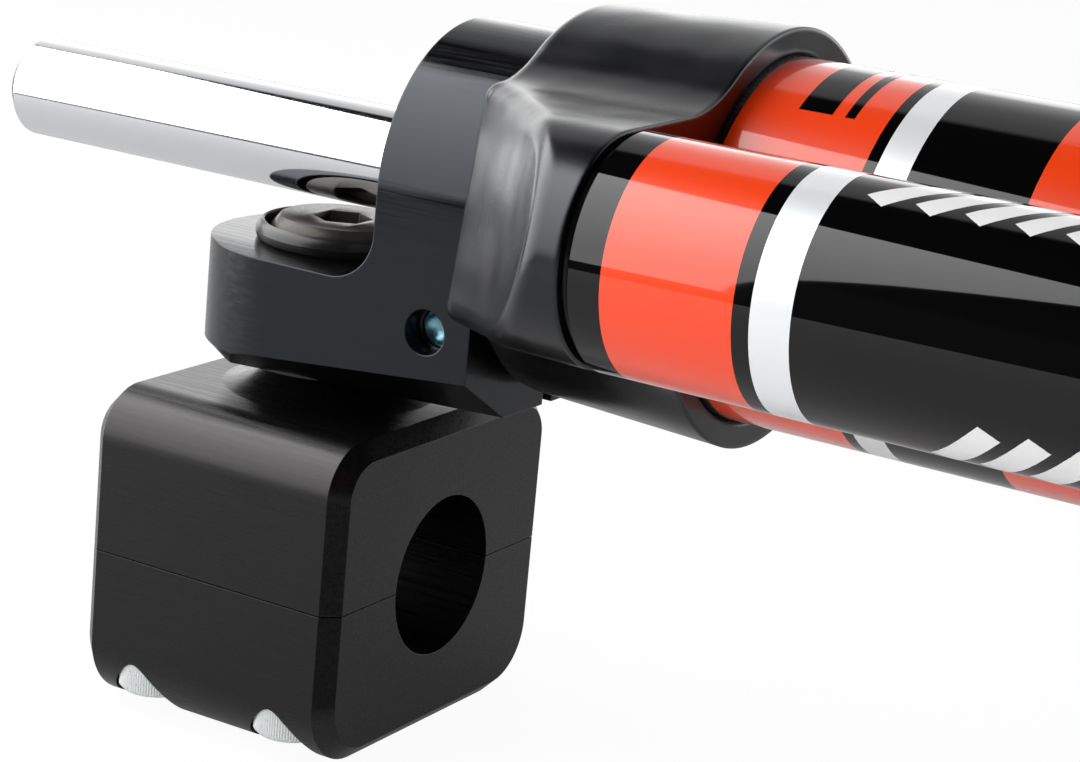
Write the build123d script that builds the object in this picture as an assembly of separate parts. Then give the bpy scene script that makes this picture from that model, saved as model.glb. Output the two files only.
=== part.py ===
from build123d import *
import math
import os

# Steering damper with a swivelling tie-rod clamp, in millimetres.
# The origin is the centre of the clamp's bore, straight under the swivel axis.
# +X runs along the damper, -Y is the side of the reservoir, +Z is up.

# Fits
running_gap = 0.05
static_gap = 0.02
face_gap = 0.3

# Damper and reservoir axes, both parallel to X
damper_offset = 4.0
shaft_over_screw = 1.66
reservoir_offset = -45.3
reservoir_rise = 5.0

# Shaft
shaft_diameter = 15.875
shaft_reach = 84.6
shaft_bevel = 2.0
shaft_rear_bevel = 1.0
stroke_each_way = 80.0
stroke_reserve = 4.0
stud_diameter = 12.0
stud_length = 24.0

# Tie-rod clamp
clamp_length = 46.8
clamp_width = 58.8
clamp_height = 50.7
clamp_bore = 25.5
clamp_split = 0.2
clamp_top_round = 8.0
clamp_bottom_round = 11.0
clamp_end_chamfer = 2.5
clamp_screw_inset_x = 10.4
clamp_screw_inset_y = 6.3
clamp_screw_diameter = 7.94
clamp_screw_head = 11.5
clamp_screw_head_height = 7.9
clamp_screw_reach = 14.0
clamp_screw_recess = 0.75
clamp_screw_socket = 6.35
clamp_screw_edge = 0.6
head_gap = 0.25
drill_point = 2.0

# Swivel post, ball and screw on the clamp
pivot_rise = 14.15
post_foot_radius = 20.5
post_neck_radius = 9.9
post_flare_height = 3.9
post_flare_sag = 0.28
post_seat_bevel = 1.0
ball_diameter = 20.0
ball_width = 13.2
shoulder_diameter = 12.0
pivot_thread = 10.0
pivot_thread_length = 16.0
pivot_thread_bevel = 1.0
screw_boss_radius = 7.4
screw_head_radius = 10.9
screw_head_flat = 9.5
screw_head_rise = 6.3
screw_rim_drop = 1.9
screw_rim_taper = 0.8
screw_head_height = 3.2
screw_socket = 8.0
screw_socket_depth = 3.5

# Bearing seat in the arm
race_diameter = 25.4
race_width = 10.0
clip_thickness = 1.1
clip_depth = 0.9
clip_width = 3.0
clip_mouth = 9.0
ring_inner_radius = 11.9
ring_outer_radius = 13.24
ring_height = 3.0
ring_plug = 2.0
ring_edge = 0.9
lower_ring_radius = 14.5
lower_ring_inner = 11.2
lower_ring_height = 2.4

# Mount: arm with a bearing at one end and a pinch clamp at the other
arm_over_pivot = 9.0
arm_thickness = 18.5
arm_radius = 20.0
arm_chamfer = 2.7
arm_fillet = 7.5
mount_face = 19.1
mount_thickness = 17.7
mount_radius = 24.0
mount_keel_half = 12.2
mount_side_edge = 7.1
mount_edge_slope = 0.093
slit_width = 2.7
slit_run_in = 2.6
shaft_way_gap = 1.0
pinch_screw_diameter = 6.0
pinch_screw_head = 10.0
pinch_screw_head_height = 6.0
pinch_screw_socket = 5.0
pinch_screw_drop = 18.5
pinch_screw_inset = 7.6
pinch_hole = 6.8
pinch_hole_depth = 4.0
pinch_cup_depth = 1.2
pinch_head_sink = 0.5
pinch_socket_depth = 3.0

# End caps: a main boss and a smaller boss beside it, joined by hollow flanks
cap_gap = 1.5
cap_length = 33.2
cap_main_radius = 29.0
cap_main_draft = 2.67
cap_side_draft = 1.26
cap_flank_radius = 20.0
cap_web_flare = 6.3
cap_edge_round = 2.4
cap_neck_radius = 14.0
cap_neck_length = 18.8
cap_neck_bevel = 1.0
socket_depth = 21.5
socket_mouth_bevel = 0.8
cap_cut_inset = 12.2
cap_cut_angle = 47.6
cap_cut_lean = 8.0
cap_cut_dish = 1.0
cap_cut_round = 3.2
spigot_length = 12.0
tube_groove = 1.4

# Tubes
main_tube_radius = 26.4
main_tube_wall = 2.5
reservoir_radius = 15.98
reservoir_wall = 1.6
transfer_tube_radius = 4.0
transfer_tube_wall = 1.2
transfer_seat_depth = 5.0
passage_radius = 1.5
passage_rim_inset = 4.0
passage_inset = 6.0
passage_depth = 9.5

# Shaft guides in each neck
bushing_wall = 1.5
bushing_length = 18.0
seal_wall = 3.4
seal_width = 5.5
wiper_width = 4.5
wiper_lip_reach = 0.5
wiper_lip_wall = 0.8
wiper_hollow_depth = 1.2
wiper_rim_width = 0.9
wiper_heel_relief = 0.6
wiper_heel_length = 2.5
shaft_bore_gap = 0.4
o_ring_section = 1.8
o_ring_groove_width = 2.6

# Piston
piston_length = 20.0
piston_gap = 0.4
piston_band_width = 10.0
piston_band_thickness = 1.6
piston_port_count = 6
piston_port_radius = 2.6
piston_port_circle = 16.0
shim_count = 4
shim_thickness = 0.4
shim_largest = 19.5
shim_step = 1.6
piston_nut_radius = 12.0
piston_nut_length = 6.0

# Floating piston in the reservoir
floating_length = 16.0
floating_setback = 46.0
floating_cup_depth = 5.0
floating_cup_wall = 2.5

# Flow adjuster and gas valve in the rear cap
needle_radius = 3.0
needle_flats = 4.6
needle_tip_length = 4.0
needle_lift = 1.45
needle_thread = 3.0
needle_taper_end = 2.3
needle_point_depth = 2.0
stem_way_gap = 0.4
plug_radius = 8.0
plug_depth = 12.0
plug_hex = 19.0
plug_hex_height = 3.0
knob_radius = 11.0
knob_length = 11.0
knob_journal_radius = 6.0
knob_journal_length = 6.5
knob_scallops = 12
knob_scallop_radius = 1.6
knob_edge = 0.8
valve_inset = 10.5
valve_spot_depth = 0.8
valve_radius = 3.5
valve_depth = 7.0
valve_hex = 10.0
valve_hex_height = 2.5
valve_stem_radius = 2.6
valve_core_radius = 1.6
gas_drilling_radius = 1.0
valve_stem_length = 7.0
valve_cap_radius = 4.4
valve_cap_length = 8.0
valve_cap_edge = 0.8

# Rod end
jam_nut_hex = 19.0
jam_nut_thickness = 7.0
rod_end_shank = 19.0
rod_end_shank_edge = 1.0
rod_end_flats = 17.0
rod_end_flats_length = 8.0
rod_end_flats_inset = 3.0
rod_end_reach = 36.0
rod_end_head = 33.4
rod_end_width = 12.0
rod_end_race = 27.0
rod_end_race_width = 11.0
rod_end_ball = 22.2
rod_end_ball_width = 15.9
rod_end_bore = 12.8

# Places worked out from the sizes above
shaft_radius = shaft_diameter / 2
pivot_height = clamp_height / 2 + pivot_rise
screw_head_top = pivot_height + ball_width / 2 + screw_head_rise
arm_top = pivot_height + arm_over_pivot
ring_top = arm_top + ring_height
damper_height = screw_head_top + shaft_over_screw + shaft_radius
damper_axis = (damper_offset, damper_height)
reservoir_axis = (damper_offset + reservoir_offset, damper_height + reservoir_rise)
arm_bottom = arm_top - arm_thickness
mount_end = mount_face + mount_thickness
cap_face = mount_end + cap_gap
cap_open = cap_face + cap_length
neck_end = cap_face - cap_neck_length
tube_start = cap_open - socket_depth
main_tube_inner = main_tube_radius - main_tube_wall
reservoir_inner = reservoir_radius - reservoir_wall
shim_stack = shim_count * shim_thickness
piston_stack = piston_length + 2 * (shim_stack + piston_nut_length)
chamber_length = 2 * (stroke_each_way + stroke_reserve) + piston_stack
piston_centre = tube_start + chamber_length / 2
tube_end = tube_start + chamber_length
rear_face = 2 * piston_centre - cap_face
rear_neck_end = 2 * piston_centre - neck_end
shaft_tip = mount_face - shaft_reach
shaft_shoulder = rear_neck_end + stroke_each_way + stroke_reserve
rod_end_start = shaft_shoulder + jam_nut_thickness
rod_end_centre = rod_end_start + rod_end_reach
spigot_end = cap_open + spigot_length
middle_plane = Plane.YZ.offset(piston_centre)


def rod_x(start, end, radius, axis):
    """Round bar along X, centred on axis (y, z)."""
    y, z = axis
    return Pos((start + end) / 2, y, z) * Rot(0, 90, 0) * Cylinder(radius, end - start)


def tube_x(start, end, outer, inner, axis):
    """Round tube along X."""
    return rod_x(start, end, outer, axis) - rod_x(start, end, inner, axis)


def rod_z(bottom, top, radius, x=0.0, y=0.0):
    """Round bar along Z."""
    return Pos(x, y, (bottom + top) / 2) * Cylinder(radius, top - bottom)


def rod_y(start, end, radius, x, z):
    """Round bar along Y."""
    return Pos(x, (start + end) / 2, z) * Rot(90, 0, 0) * Cylinder(radius, end - start)


def turned_x(profile, axis):
    """Solid turned about an axis along X, from (x, radius) points."""
    y, z = axis
    outline = Polyline(*[(x, y, z + radius) for x, radius in profile], close=True)
    return revolve(make_face(outline), axis=Axis((0, y, z), (1, 0, 0)))


def turned_z(profile):
    """Solid turned about the swivel axis, from (radius, z) points."""
    outline = Polyline(*[(radius, 0, z) for radius, z in profile], close=True)
    return revolve(make_face(outline), axis=Axis.Z)


def hex_x(start, end, across_flats, axis):
    """Hexagonal bar along X."""
    y, z = axis
    face = RegularPolygon(across_flats / 2, 6, major_radius=False)
    return Pos(start, y, z) * Rot(0, 90, 0) * extrude(face, end - start)


def hex_z(bottom, top, across_flats, x=0.0, y=0.0):
    """Hexagonal bar along Z."""
    face = RegularPolygon(across_flats / 2, 6, major_radius=False)
    return Pos(x, y, bottom) * extrude(face, top - bottom)


def o_ring_x(place, major, axis):
    """O-ring round an axis along X, its round section drawn with eight sides."""
    turns = [math.pi * (index + 0.5) / 4 for index in range(8)]
    half = o_ring_section / 2
    section = [(place + half * math.sin(turn), major + half * math.cos(turn)) for turn in turns]
    return turned_x(section, axis)


def clamp_screw_places():
    """Centres of the four clamp screws."""
    half_x = clamp_length / 2 - clamp_screw_inset_x
    half_y = clamp_width / 2 - clamp_screw_inset_y
    return [(x, y) for x in (-half_x, half_x) for y in (-half_y, half_y)]


def clamp_block():
    """Both halves of the clamp before the split: rounded along X, chamfered at its ends."""
    outline = Rectangle(clamp_width, clamp_height)
    outline = fillet(outline.vertices().sort_by(Axis.Y)[-2:], clamp_top_round)
    outline = fillet(outline.vertices().sort_by(Axis.Y)[:2], clamp_bottom_round)
    block = extrude(Plane.YZ * outline, clamp_length / 2, both=True)
    ends = block.faces().sort_by(Axis.X)
    block = chamfer(ends[0].edges() + ends[-1].edges(), clamp_end_chamfer)
    return block - rod_x(-clamp_length, clamp_length, clamp_bore / 2, (0, 0))


def swivel_post():
    """Flared post on top of the clamp, up to the seat of the ball."""
    foot = clamp_height / 2
    seat = pivot_height - ball_width / 2 - running_gap
    neck = foot + post_flare_height
    seat_radius = math.sqrt(ball_diameter**2 / 4 - ball_width**2 / 4) - face_gap
    sag_radius = (post_foot_radius + 2 * post_neck_radius) / 3
    sag_height = foot + post_flare_height * post_flare_sag
    flare = ThreePointArc(
        (post_foot_radius, 0, foot),
        (sag_radius, 0, sag_height),
        (post_neck_radius, 0, neck),
    )
    rest = Polyline(
        (post_neck_radius, 0, neck),
        (post_neck_radius, 0, seat - post_seat_bevel),
        (seat_radius, 0, seat),
        (0, 0, seat),
        (0, 0, foot - 1),
        (post_foot_radius, 0, foot - 1),
        (post_foot_radius, 0, foot),
    )
    return revolve(make_face([flare, *rest.edges()]), axis=Axis.Z)


def screw_seat():
    """Height of the clamp screws' head seats."""
    return -clamp_height / 2 + clamp_screw_recess + clamp_screw_head_height


def make_clamp_upper():
    """Upper clamp half with the swivel post and tapped holes."""
    top = Box(2 * clamp_length, 2 * clamp_width, clamp_height)
    half = clamp_block() & (Pos(0, 0, clamp_split / 2 + clamp_height / 2) * top)
    half += swivel_post()
    seat = pivot_height - ball_width / 2
    half -= rod_z(seat - pivot_thread_length - drill_point, seat + 1, pivot_thread / 2 + static_gap)
    for x, y in clamp_screw_places():
        hole_top = clamp_screw_reach + drill_point
        half -= rod_z(-1, hole_top, clamp_screw_diameter / 2 + static_gap, x, y)
    return half


def make_clamp_lower():
    """Lower clamp half with counterbored screw holes that break through its rounds."""
    bottom = Box(2 * clamp_length, 2 * clamp_width, clamp_height)
    half = clamp_block() & (Pos(0, 0, -clamp_split / 2 - clamp_height / 2) * bottom)
    for x, y in clamp_screw_places():
        half -= rod_z(-clamp_height, 1, clamp_screw_diameter / 2 + head_gap, x, y)
        half -= rod_z(-clamp_height, screw_seat(), clamp_screw_head / 2 + head_gap, x, y)
    return half


def make_clamp_screws():
    """Four socket-head cap screws, put in from below."""
    head_end = screw_seat() - clamp_screw_head_height
    screws = []
    for x, y in clamp_screw_places():
        screw = rod_z(head_end, screw_seat(), clamp_screw_head / 2, x, y)
        screw = chamfer(screw.edges().sort_by(Axis.Z)[0], clamp_screw_edge)
        screw += rod_z(screw_seat(), clamp_screw_reach, clamp_screw_diameter / 2, x, y)
        screw -= hex_z(head_end, head_end + clamp_screw_head_height / 2, clamp_screw_socket, x, y)
        screws.append(screw)
    return Compound(children=screws)


def make_pivot_screw():
    """Shoulder screw that holds the ball on the post, with a low bevelled head."""
    seat = pivot_height - ball_width / 2
    boss = pivot_height + ball_width / 2 + running_gap
    under_head = screw_head_top - screw_head_height
    rim = screw_head_top - screw_rim_drop
    screw = turned_z(
        [
            (0, seat - pivot_thread_length),
            (pivot_thread / 2 - pivot_thread_bevel, seat - pivot_thread_length),
            (pivot_thread / 2, seat - pivot_thread_length + pivot_thread_bevel),
            (pivot_thread / 2, seat - running_gap),
            (shoulder_diameter / 2, seat - running_gap),
            (shoulder_diameter / 2, boss),
            (screw_boss_radius, boss),
            (screw_boss_radius, under_head),
            (screw_head_radius - screw_rim_taper, under_head),
            (screw_head_radius, rim),
            (screw_head_flat, screw_head_top),
            (0, screw_head_top),
        ]
    )
    return screw - hex_z(screw_head_top - screw_socket_depth, screw_head_top + 1, screw_socket)


def make_bearing_ball():
    """Truncated ball that turns on the screw's shoulder."""
    ball = Sphere(ball_diameter / 2) & Box(ball_diameter, ball_diameter, ball_width)
    ball -= Cylinder(shoulder_diameter / 2 + running_gap, ball_width)
    return Pos(0, 0, pivot_height) * ball


def make_bearing_race():
    """Outer ring round the ball, hollowed to its sphere."""
    race = Cylinder(race_diameter / 2, race_width) - Sphere(ball_diameter / 2 + running_gap)
    return Pos(0, 0, pivot_height) * race


def clip_bottom():
    """Height of the retaining clip's lower face."""
    return pivot_height + race_width / 2


def make_race_clip():
    """Open retaining ring above the race."""
    outer = race_diameter / 2 + clip_depth
    inner = outer - clip_width
    low = clip_bottom()
    clip = rod_z(low, low + clip_thickness, outer) - rod_z(low, low + clip_thickness, inner)
    return clip - Pos(-outer, 0, low) * Box(2 * outer, clip_mouth, 4 * clip_thickness)


def make_seal_ring_upper():
    """Moulded ring pressed into the arm's upper face, with a rounded bead."""
    plug_radius = race_diameter / 2
    ring = turned_z(
        [
            (ring_inner_radius, arm_top - ring_plug),
            (plug_radius, arm_top - ring_plug),
            (plug_radius, arm_top),
            (ring_outer_radius, arm_top),
            (ring_outer_radius, ring_top),
            (ring_inner_radius, ring_top),
        ]
    )
    crown = ring.faces().sort_by(Axis.Z)[-1].edges().sort_by(SortBy.RADIUS)[-1]
    return fillet(crown, ring_edge)


def make_seal_ring_lower():
    """Flat lip ring in the arm's lower face."""
    top = arm_bottom + lower_ring_height
    return rod_z(arm_bottom, top, lower_ring_radius) - rod_z(arm_bottom, top, lower_ring_inner)


def keel_plane(side):
    """Sloping plane of the mount's lower side chamfer; side is -1 near and 1 far."""
    keel = Vector(mount_end, damper_offset + side * mount_keel_half, arm_bottom)
    along = Vector(1, 0, mount_edge_slope)
    across = Vector(0, side * (mount_radius - mount_keel_half), mount_side_edge)
    return Plane(origin=keel, x_dir=along, z_dir=along.cross(across) * side)


def pinch_place():
    """Middle of the pinch screw's axis as (x, z)."""
    return mount_end - pinch_screw_inset, damper_height - pinch_screw_drop


def pinch_head_seat():
    """Y of the pinch screw's head seat, on the far side."""
    return damper_offset + mount_radius - pinch_screw_head_height - pinch_head_sink


def make_mount_arm():
    """Arm with the bearing seat, rising into the split pinch clamp that holds the cap's neck."""
    run = mount_face + mount_thickness / 2
    end = rod_z(arm_bottom, arm_top, arm_radius)
    end = chamfer(end.edges().sort_by(Axis.Z)[0], arm_chamfer)
    bar = Pos(run / 2, 0, arm_bottom + arm_thickness / 2) * Box(run, 2 * arm_radius, arm_thickness)
    rise = damper_height - arm_bottom
    plate = Pos(mount_face + mount_thickness / 2, damper_offset, arm_bottom + rise / 2) * Box(
        mount_thickness, 2 * mount_radius, rise
    )
    plate += rod_x(mount_face, mount_end, mount_radius, damper_axis)
    corner = (mount_face - arm_fillet, arm_top + arm_fillet)
    web = Pos(mount_face - arm_fillet / 2, 0, arm_top + arm_fillet / 2) * Box(
        arm_fillet, 2 * arm_radius, arm_fillet
    )
    web -= rod_y(-2 * arm_radius, 2 * arm_radius, arm_fillet, *corner)
    mount = end + bar + plate + web
    for side in (-1, 1):
        mount = split(mount, bisect_by=keel_plane(side), keep=Keep.TOP)
    return mount - mount_openings()


def mount_openings():
    """Everything cut out of the mount: bearing seat, neck bore, shaft way, slit and screw hole."""
    race_low = pivot_height - race_width / 2
    seat_radius = race_diameter / 2 + static_gap
    shelf_radius = lower_ring_inner + 0.3
    cuts = rod_z(race_low, arm_top + 1, seat_radius)
    cuts += rod_z(arm_bottom - 1, race_low + 1, shelf_radius)
    cuts += rod_z(arm_bottom - 1, arm_bottom + lower_ring_height, lower_ring_radius + static_gap)
    cuts += rod_z(arm_top, ring_top + arm_fillet, ring_outer_radius + static_gap)
    groove_radius = race_diameter / 2 + clip_depth + static_gap
    cuts += rod_z(clip_bottom(), clip_bottom() + clip_thickness, groove_radius)
    cuts += rod_x(mount_face, mount_end, cap_neck_radius + static_gap, damper_axis)
    cuts += rod_x(-arm_radius, mount_face, shaft_radius + shaft_way_gap, damper_axis)
    slit_start = mount_face - slit_run_in
    slit_length = mount_end - slit_start
    slit_height = damper_height - arm_bottom + 1
    slit = Box(slit_length + 1, slit_width, slit_height)
    cuts += Pos(slit_start + slit_length / 2 + 0.5, damper_offset, arm_bottom - 1 + slit_height / 2) * slit
    x, z = pinch_place()
    near = damper_offset - mount_radius
    far = damper_offset + mount_radius
    cuts += rod_y(near - 1, near + pinch_hole_depth, pinch_hole / 2, x, z)
    cuts += rod_y(near, far, pinch_screw_diameter / 2 + static_gap, x, z)
    cuts += rod_y(pinch_head_seat(), far + 1, pinch_screw_head / 2 + head_gap, x, z)
    return cuts


def make_pinch_screw():
    """Cap screw across the slit; its cupped end shows in the near side's hole."""
    x, z = pinch_place()
    end = damper_offset - mount_radius + pinch_hole_depth
    seat = pinch_head_seat()
    screw = rod_y(end, seat, pinch_screw_diameter / 2, x, z)
    screw += rod_y(seat, seat + pinch_screw_head_height, pinch_screw_head / 2, x, z)
    cup = Cone(0.2, pinch_screw_diameter / 2 - 0.5, pinch_cup_depth)
    screw -= Pos(x, end + pinch_cup_depth / 2, z) * Rot(90, 0, 0) * cup
    socket = extrude(RegularPolygon(pinch_screw_socket / 2, 6, major_radius=False), pinch_socket_depth)
    return screw - Pos(x, seat + pinch_screw_head_height, z) * Rot(90, 0, 0) * socket


def cap_outline(x, main_radius, side_radius):
    """Outline of a cap at x: two bosses, and a flaring web that runs into the big one in hollow flanks."""
    main = Vector(x, *damper_axis)
    side = Vector(x, *reservoir_axis)
    gap = main - side
    heading = math.degrees(math.atan2(gap.Z, gap.Y))
    flanks = []
    webs = []
    for turn in (1, -1):
        slope = math.radians(heading + turn * cap_web_flare)
        along = Vector(0, math.cos(slope), math.sin(slope))
        out = Vector(0, -math.sin(slope), math.cos(slope)) * turn
        on_side = side + out * side_radius
        to_main = main - on_side - out * cap_flank_radius
        reach = main_radius + cap_flank_radius
        run = to_main.dot(along) - math.sqrt(reach**2 - to_main.dot(out) ** 2)
        on_web = on_side + along * run
        hollow = on_web + out * cap_flank_radius
        on_main = main + (hollow - main).normalized() * main_radius
        waist = hollow + (on_main + on_web - hollow * 2).normalized() * cap_flank_radius
        flanks.append(ThreePointArc(on_main, waist, on_web))
        webs.append(Line(on_web, on_side))
    away = gap.normalized()
    big = ThreePointArc(flanks[1] @ 0, main + away * main_radius, flanks[0] @ 0)
    small = ThreePointArc(webs[0] @ 1, side - away * side_radius, webs[1] @ 1)
    return make_face([big, flanks[0], webs[0], small, webs[1], flanks[1]])


def rounded_shell():
    """Drafted body of the front cap, its narrow end rounded, before any hole."""
    main_growth = cap_length * math.tan(math.radians(cap_main_draft))
    side_growth = cap_length * math.tan(math.radians(cap_side_draft))
    narrow = cap_outline(cap_face, cap_main_radius, reservoir_radius - side_growth)
    wide = cap_outline(cap_open, cap_main_radius + main_growth, reservoir_radius)
    shell = loft([narrow, wide], ruled=True)
    rim = shell.faces().sort_by(Axis.X)[0]
    return fillet(rim.edges(), cap_edge_round)


def cap_neck():
    """Neck that the mount grips, bevelled at its free end."""
    return turned_x(
        [
            (neck_end, 0),
            (neck_end, cap_neck_radius - cap_neck_bevel),
            (neck_end + cap_neck_bevel, cap_neck_radius),
            (cap_face + 1, cap_neck_radius),
            (cap_face + 1, 0),
        ],
        damper_axis,
    )


def cap_spigot():
    """Spigot that enters the reservoir tube, with a groove for its O-ring."""
    radius = reservoir_inner - static_gap
    spigot = rod_x(cap_open - 1, spigot_end, radius, reservoir_axis)
    groove = o_ring_groove_place()
    half = o_ring_groove_width / 2
    return spigot - tube_x(groove - half, groove + half, radius + 1, radius - o_ring_section, reservoir_axis)


def o_ring_groove_place():
    """X of the reservoir O-ring on the front spigot."""
    return cap_open + tube_groove + (spigot_length - tube_groove) / 2


def tube_seal_place():
    """X of the O-ring round the front end of the main tube."""
    return tube_start + socket_depth / 4


def cap_hollows():
    """Tube socket, shaft bore with its seal pockets, and the oil passage of one cap."""
    mouth = main_tube_radius + static_gap
    cuts = rod_x(tube_start, cap_open + 1, mouth, damper_axis)
    bevel = socket_mouth_bevel
    cuts += turned_x(
        [(cap_open - bevel, 0), (cap_open - bevel, mouth), (cap_open, mouth + bevel), (cap_open, 0)],
        damper_axis,
    )
    seal_place = tube_seal_place()
    half = o_ring_groove_width / 2
    cuts += rod_x(seal_place - half, seal_place + half, main_tube_radius + o_ring_section, damper_axis)
    cuts += rod_x(neck_end - 1, tube_start + 1, shaft_radius + shaft_bore_gap, damper_axis)
    pocket = shaft_radius + seal_wall + static_gap
    cuts += rod_x(neck_end - 1, neck_end + wiper_width + seal_width, pocket, damper_axis)
    guide = shaft_radius + bushing_wall + static_gap
    cuts += rod_x(tube_start - bushing_length, tube_start + 1, guide, damper_axis)
    return cuts + oil_passage() + transfer_seat()


def transfer_seat():
    """Stepped bore in the spigot for the transfer tube."""
    floor = spigot_end - transfer_seat_depth
    bore = rod_x(floor, spigot_end + 1, transfer_tube_radius + static_gap, reservoir_axis)
    return bore + rod_x(passage_end(), floor + 1, passage_radius, reservoir_axis)


def passage_end():
    """X where the oil passage meets the reservoir axis."""
    return cap_open - passage_depth


def oil_passage():
    """Drilling from the chamber's floor round the tube's end to the reservoir axis."""
    away = Vector(0, reservoir_offset, reservoir_rise).normalized()
    start = Vector(tube_start - passage_inset, *damper_axis) + away * (main_tube_inner - passage_rim_inset)
    end = Vector(passage_end(), *reservoir_axis)
    y, z = start.Y, start.Z
    entry = rod_x(start.X - passage_radius, tube_start + 1, passage_radius, (y, z))
    run = end - start
    drilling = Plane(origin=start, z_dir=run) * extrude(Circle(passage_radius), run.length)
    return entry + drilling


def diagonal_scoop():
    """Slanting, leaning cut across the small boss, dished like the sweep of a large cutter."""
    angle = math.radians(cap_cut_angle)
    along = Vector(math.cos(angle), -math.sin(angle))
    out = Vector(-math.sin(angle), -math.cos(angle))
    half_run = (cap_cut_inset + reservoir_radius) / 2 / math.sin(angle)
    sweep = (half_run**2 + cap_cut_dish**2) / (2 * cap_cut_dish)
    start = Vector(cap_face, reservoir_axis[0] + cap_cut_inset)
    centre = start + along * half_run + out * (sweep - cap_cut_dish)
    height = 6 * reservoir_radius
    level = reservoir_axis[1]
    cutter = rod_z(level - height, level + height, sweep, centre.X, centre.Y)
    return cutter.rotate(Axis((centre.X, centre.Y, level), (along.X, along.Y, 0)), -cap_cut_lean)


def make_front_cap():
    """Front cap, gripped by the mount, with the slanting dished cut on its small boss."""
    shell = rounded_shell() - diagonal_scoop()
    scoop = shell.faces().filter_by(GeomType.CYLINDER)[0]
    shell = fillet(scoop.edges(), cap_cut_round)
    return shell + cap_neck() + cap_spigot() - cap_hollows()


def make_rear_cap():
    """Rear cap: the same two bosses without the slanting cut, with adjuster and valve bores."""
    cap = mirror(rounded_shell() + cap_neck() + cap_spigot() - cap_hollows(), about=middle_plane)
    cap -= rod_x(needle_seat(), rear_face, needle_radius + face_gap, reservoir_axis)
    cap -= rod_x(rear_face - plug_depth, rear_face + 1, plug_radius + static_gap, reservoir_axis)
    x, seat = valve_place()
    floor = seat + valve_depth
    cap -= rod_y(seat - 2 * valve_spot_depth, seat, 0.6 * valve_hex + head_gap, x, reservoir_axis[1])
    cap -= rod_y(seat, floor, valve_radius + static_gap, x, reservoir_axis[1])
    drilling = (floor - 1, reservoir_axis[1])
    return cap - rod_x(2 * piston_centre - spigot_end - 1, x, gas_drilling_radius, drilling)


def valve_place():
    """X of the gas valve and Y of its seat on the small boss."""
    x = rear_face - cap_length + valve_inset
    growth = valve_inset * math.tan(math.radians(cap_side_draft))
    seat = reservoir_axis[0] - reservoir_radius + growth + valve_spot_depth
    return x, seat


def make_main_tube():
    """Main tube, from the floor of one cap's socket to the other's."""
    return tube_x(tube_start, tube_end, main_tube_radius, main_tube_inner, damper_axis)


def make_reservoir_tube():
    """Reservoir tube over both spigots, one groove away from each cap."""
    start = cap_open + tube_groove
    end = 2 * piston_centre - start
    return tube_x(start, end, reservoir_radius, reservoir_inner, reservoir_axis)


def make_transfer_tube():
    """Thin tube along the reservoir, from one cap's seat to the other's."""
    start = spigot_end - transfer_seat_depth
    end = 2 * piston_centre - start
    inner = transfer_tube_radius - transfer_tube_wall
    return tube_x(start, end, transfer_tube_radius, inner, reservoir_axis)


def both_ends(piece):
    """A front piece and its mirror image at the rear."""
    return Compound(children=[piece, mirror(piece, about=middle_plane)])


def make_tube_o_rings():
    """O-rings between the main tube and both caps."""
    major = main_tube_radius + o_ring_section / 2
    return both_ends(o_ring_x(tube_seal_place(), major, damper_axis))


def make_reservoir_o_rings():
    """O-rings between both spigots and the reservoir tube."""
    major = reservoir_inner - o_ring_section / 2 - static_gap
    return both_ends(o_ring_x(o_ring_groove_place(), major, reservoir_axis))


def make_bushings():
    """Plain bushings that guide the shaft in both caps."""
    start = tube_start - bushing_length
    outer = shaft_radius + bushing_wall
    return both_ends(tube_x(start, tube_start, outer, shaft_radius + running_gap, damper_axis))


def make_shaft_seals():
    """Oil seals, seated behind the wipers."""
    start = neck_end + wiper_width
    outer = shaft_radius + seal_wall
    return both_ends(tube_x(start, start + seal_width, outer, shaft_radius + running_gap, damper_axis))


def make_wipers():
    """Wipers in the mouth of both necks, each with a lip that points outward."""
    outer = shaft_radius + seal_wall
    inner = shaft_radius + running_gap
    wiper = turned_x(
        [
            (neck_end - wiper_lip_reach, inner),
            (neck_end - wiper_lip_reach, inner + wiper_lip_wall),
            (neck_end + wiper_hollow_depth, outer - wiper_rim_width),
            (neck_end + static_gap, outer),
            (neck_end + wiper_width, outer),
            (neck_end + wiper_width, inner + wiper_heel_relief),
            (neck_end + wiper_width - wiper_heel_length, inner),
        ],
        damper_axis,
    )
    return both_ends(wiper)


def make_shaft():
    """Shaft right through the damper, bevelled in front, with a stud for the rod end."""
    return turned_x(
        [
            (shaft_tip, 0),
            (shaft_tip, shaft_radius - shaft_bevel),
            (shaft_tip + shaft_bevel, shaft_radius),
            (shaft_shoulder - shaft_rear_bevel, shaft_radius),
            (shaft_shoulder, shaft_radius - shaft_rear_bevel),
            (shaft_shoulder, stud_diameter / 2),
            (shaft_shoulder + stud_length - shaft_rear_bevel, stud_diameter / 2),
            (shaft_shoulder + stud_length, stud_diameter / 2 - shaft_rear_bevel),
            (shaft_shoulder + stud_length, 0),
        ],
        damper_axis,
    )


def make_piston():
    """Piston on the middle of the shaft, with a ring of ports and a groove for its band."""
    half = piston_length / 2
    radius = main_tube_inner - piston_gap
    piston = tube_x(
        piston_centre - half, piston_centre + half, radius, shaft_radius + static_gap, damper_axis
    )
    groove = piston_band_width / 2 + static_gap
    piston -= tube_x(
        piston_centre - groove,
        piston_centre + groove,
        radius + 1,
        main_tube_inner - running_gap - piston_band_thickness,
        damper_axis,
    )
    y, z = damper_axis
    for index in range(piston_port_count):
        angle = 2 * math.pi * index / piston_port_count
        port_axis = (y + piston_port_circle * math.cos(angle), z + piston_port_circle * math.sin(angle))
        piston -= rod_x(piston_centre - half, piston_centre + half, piston_port_radius, port_axis)
    return piston


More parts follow.
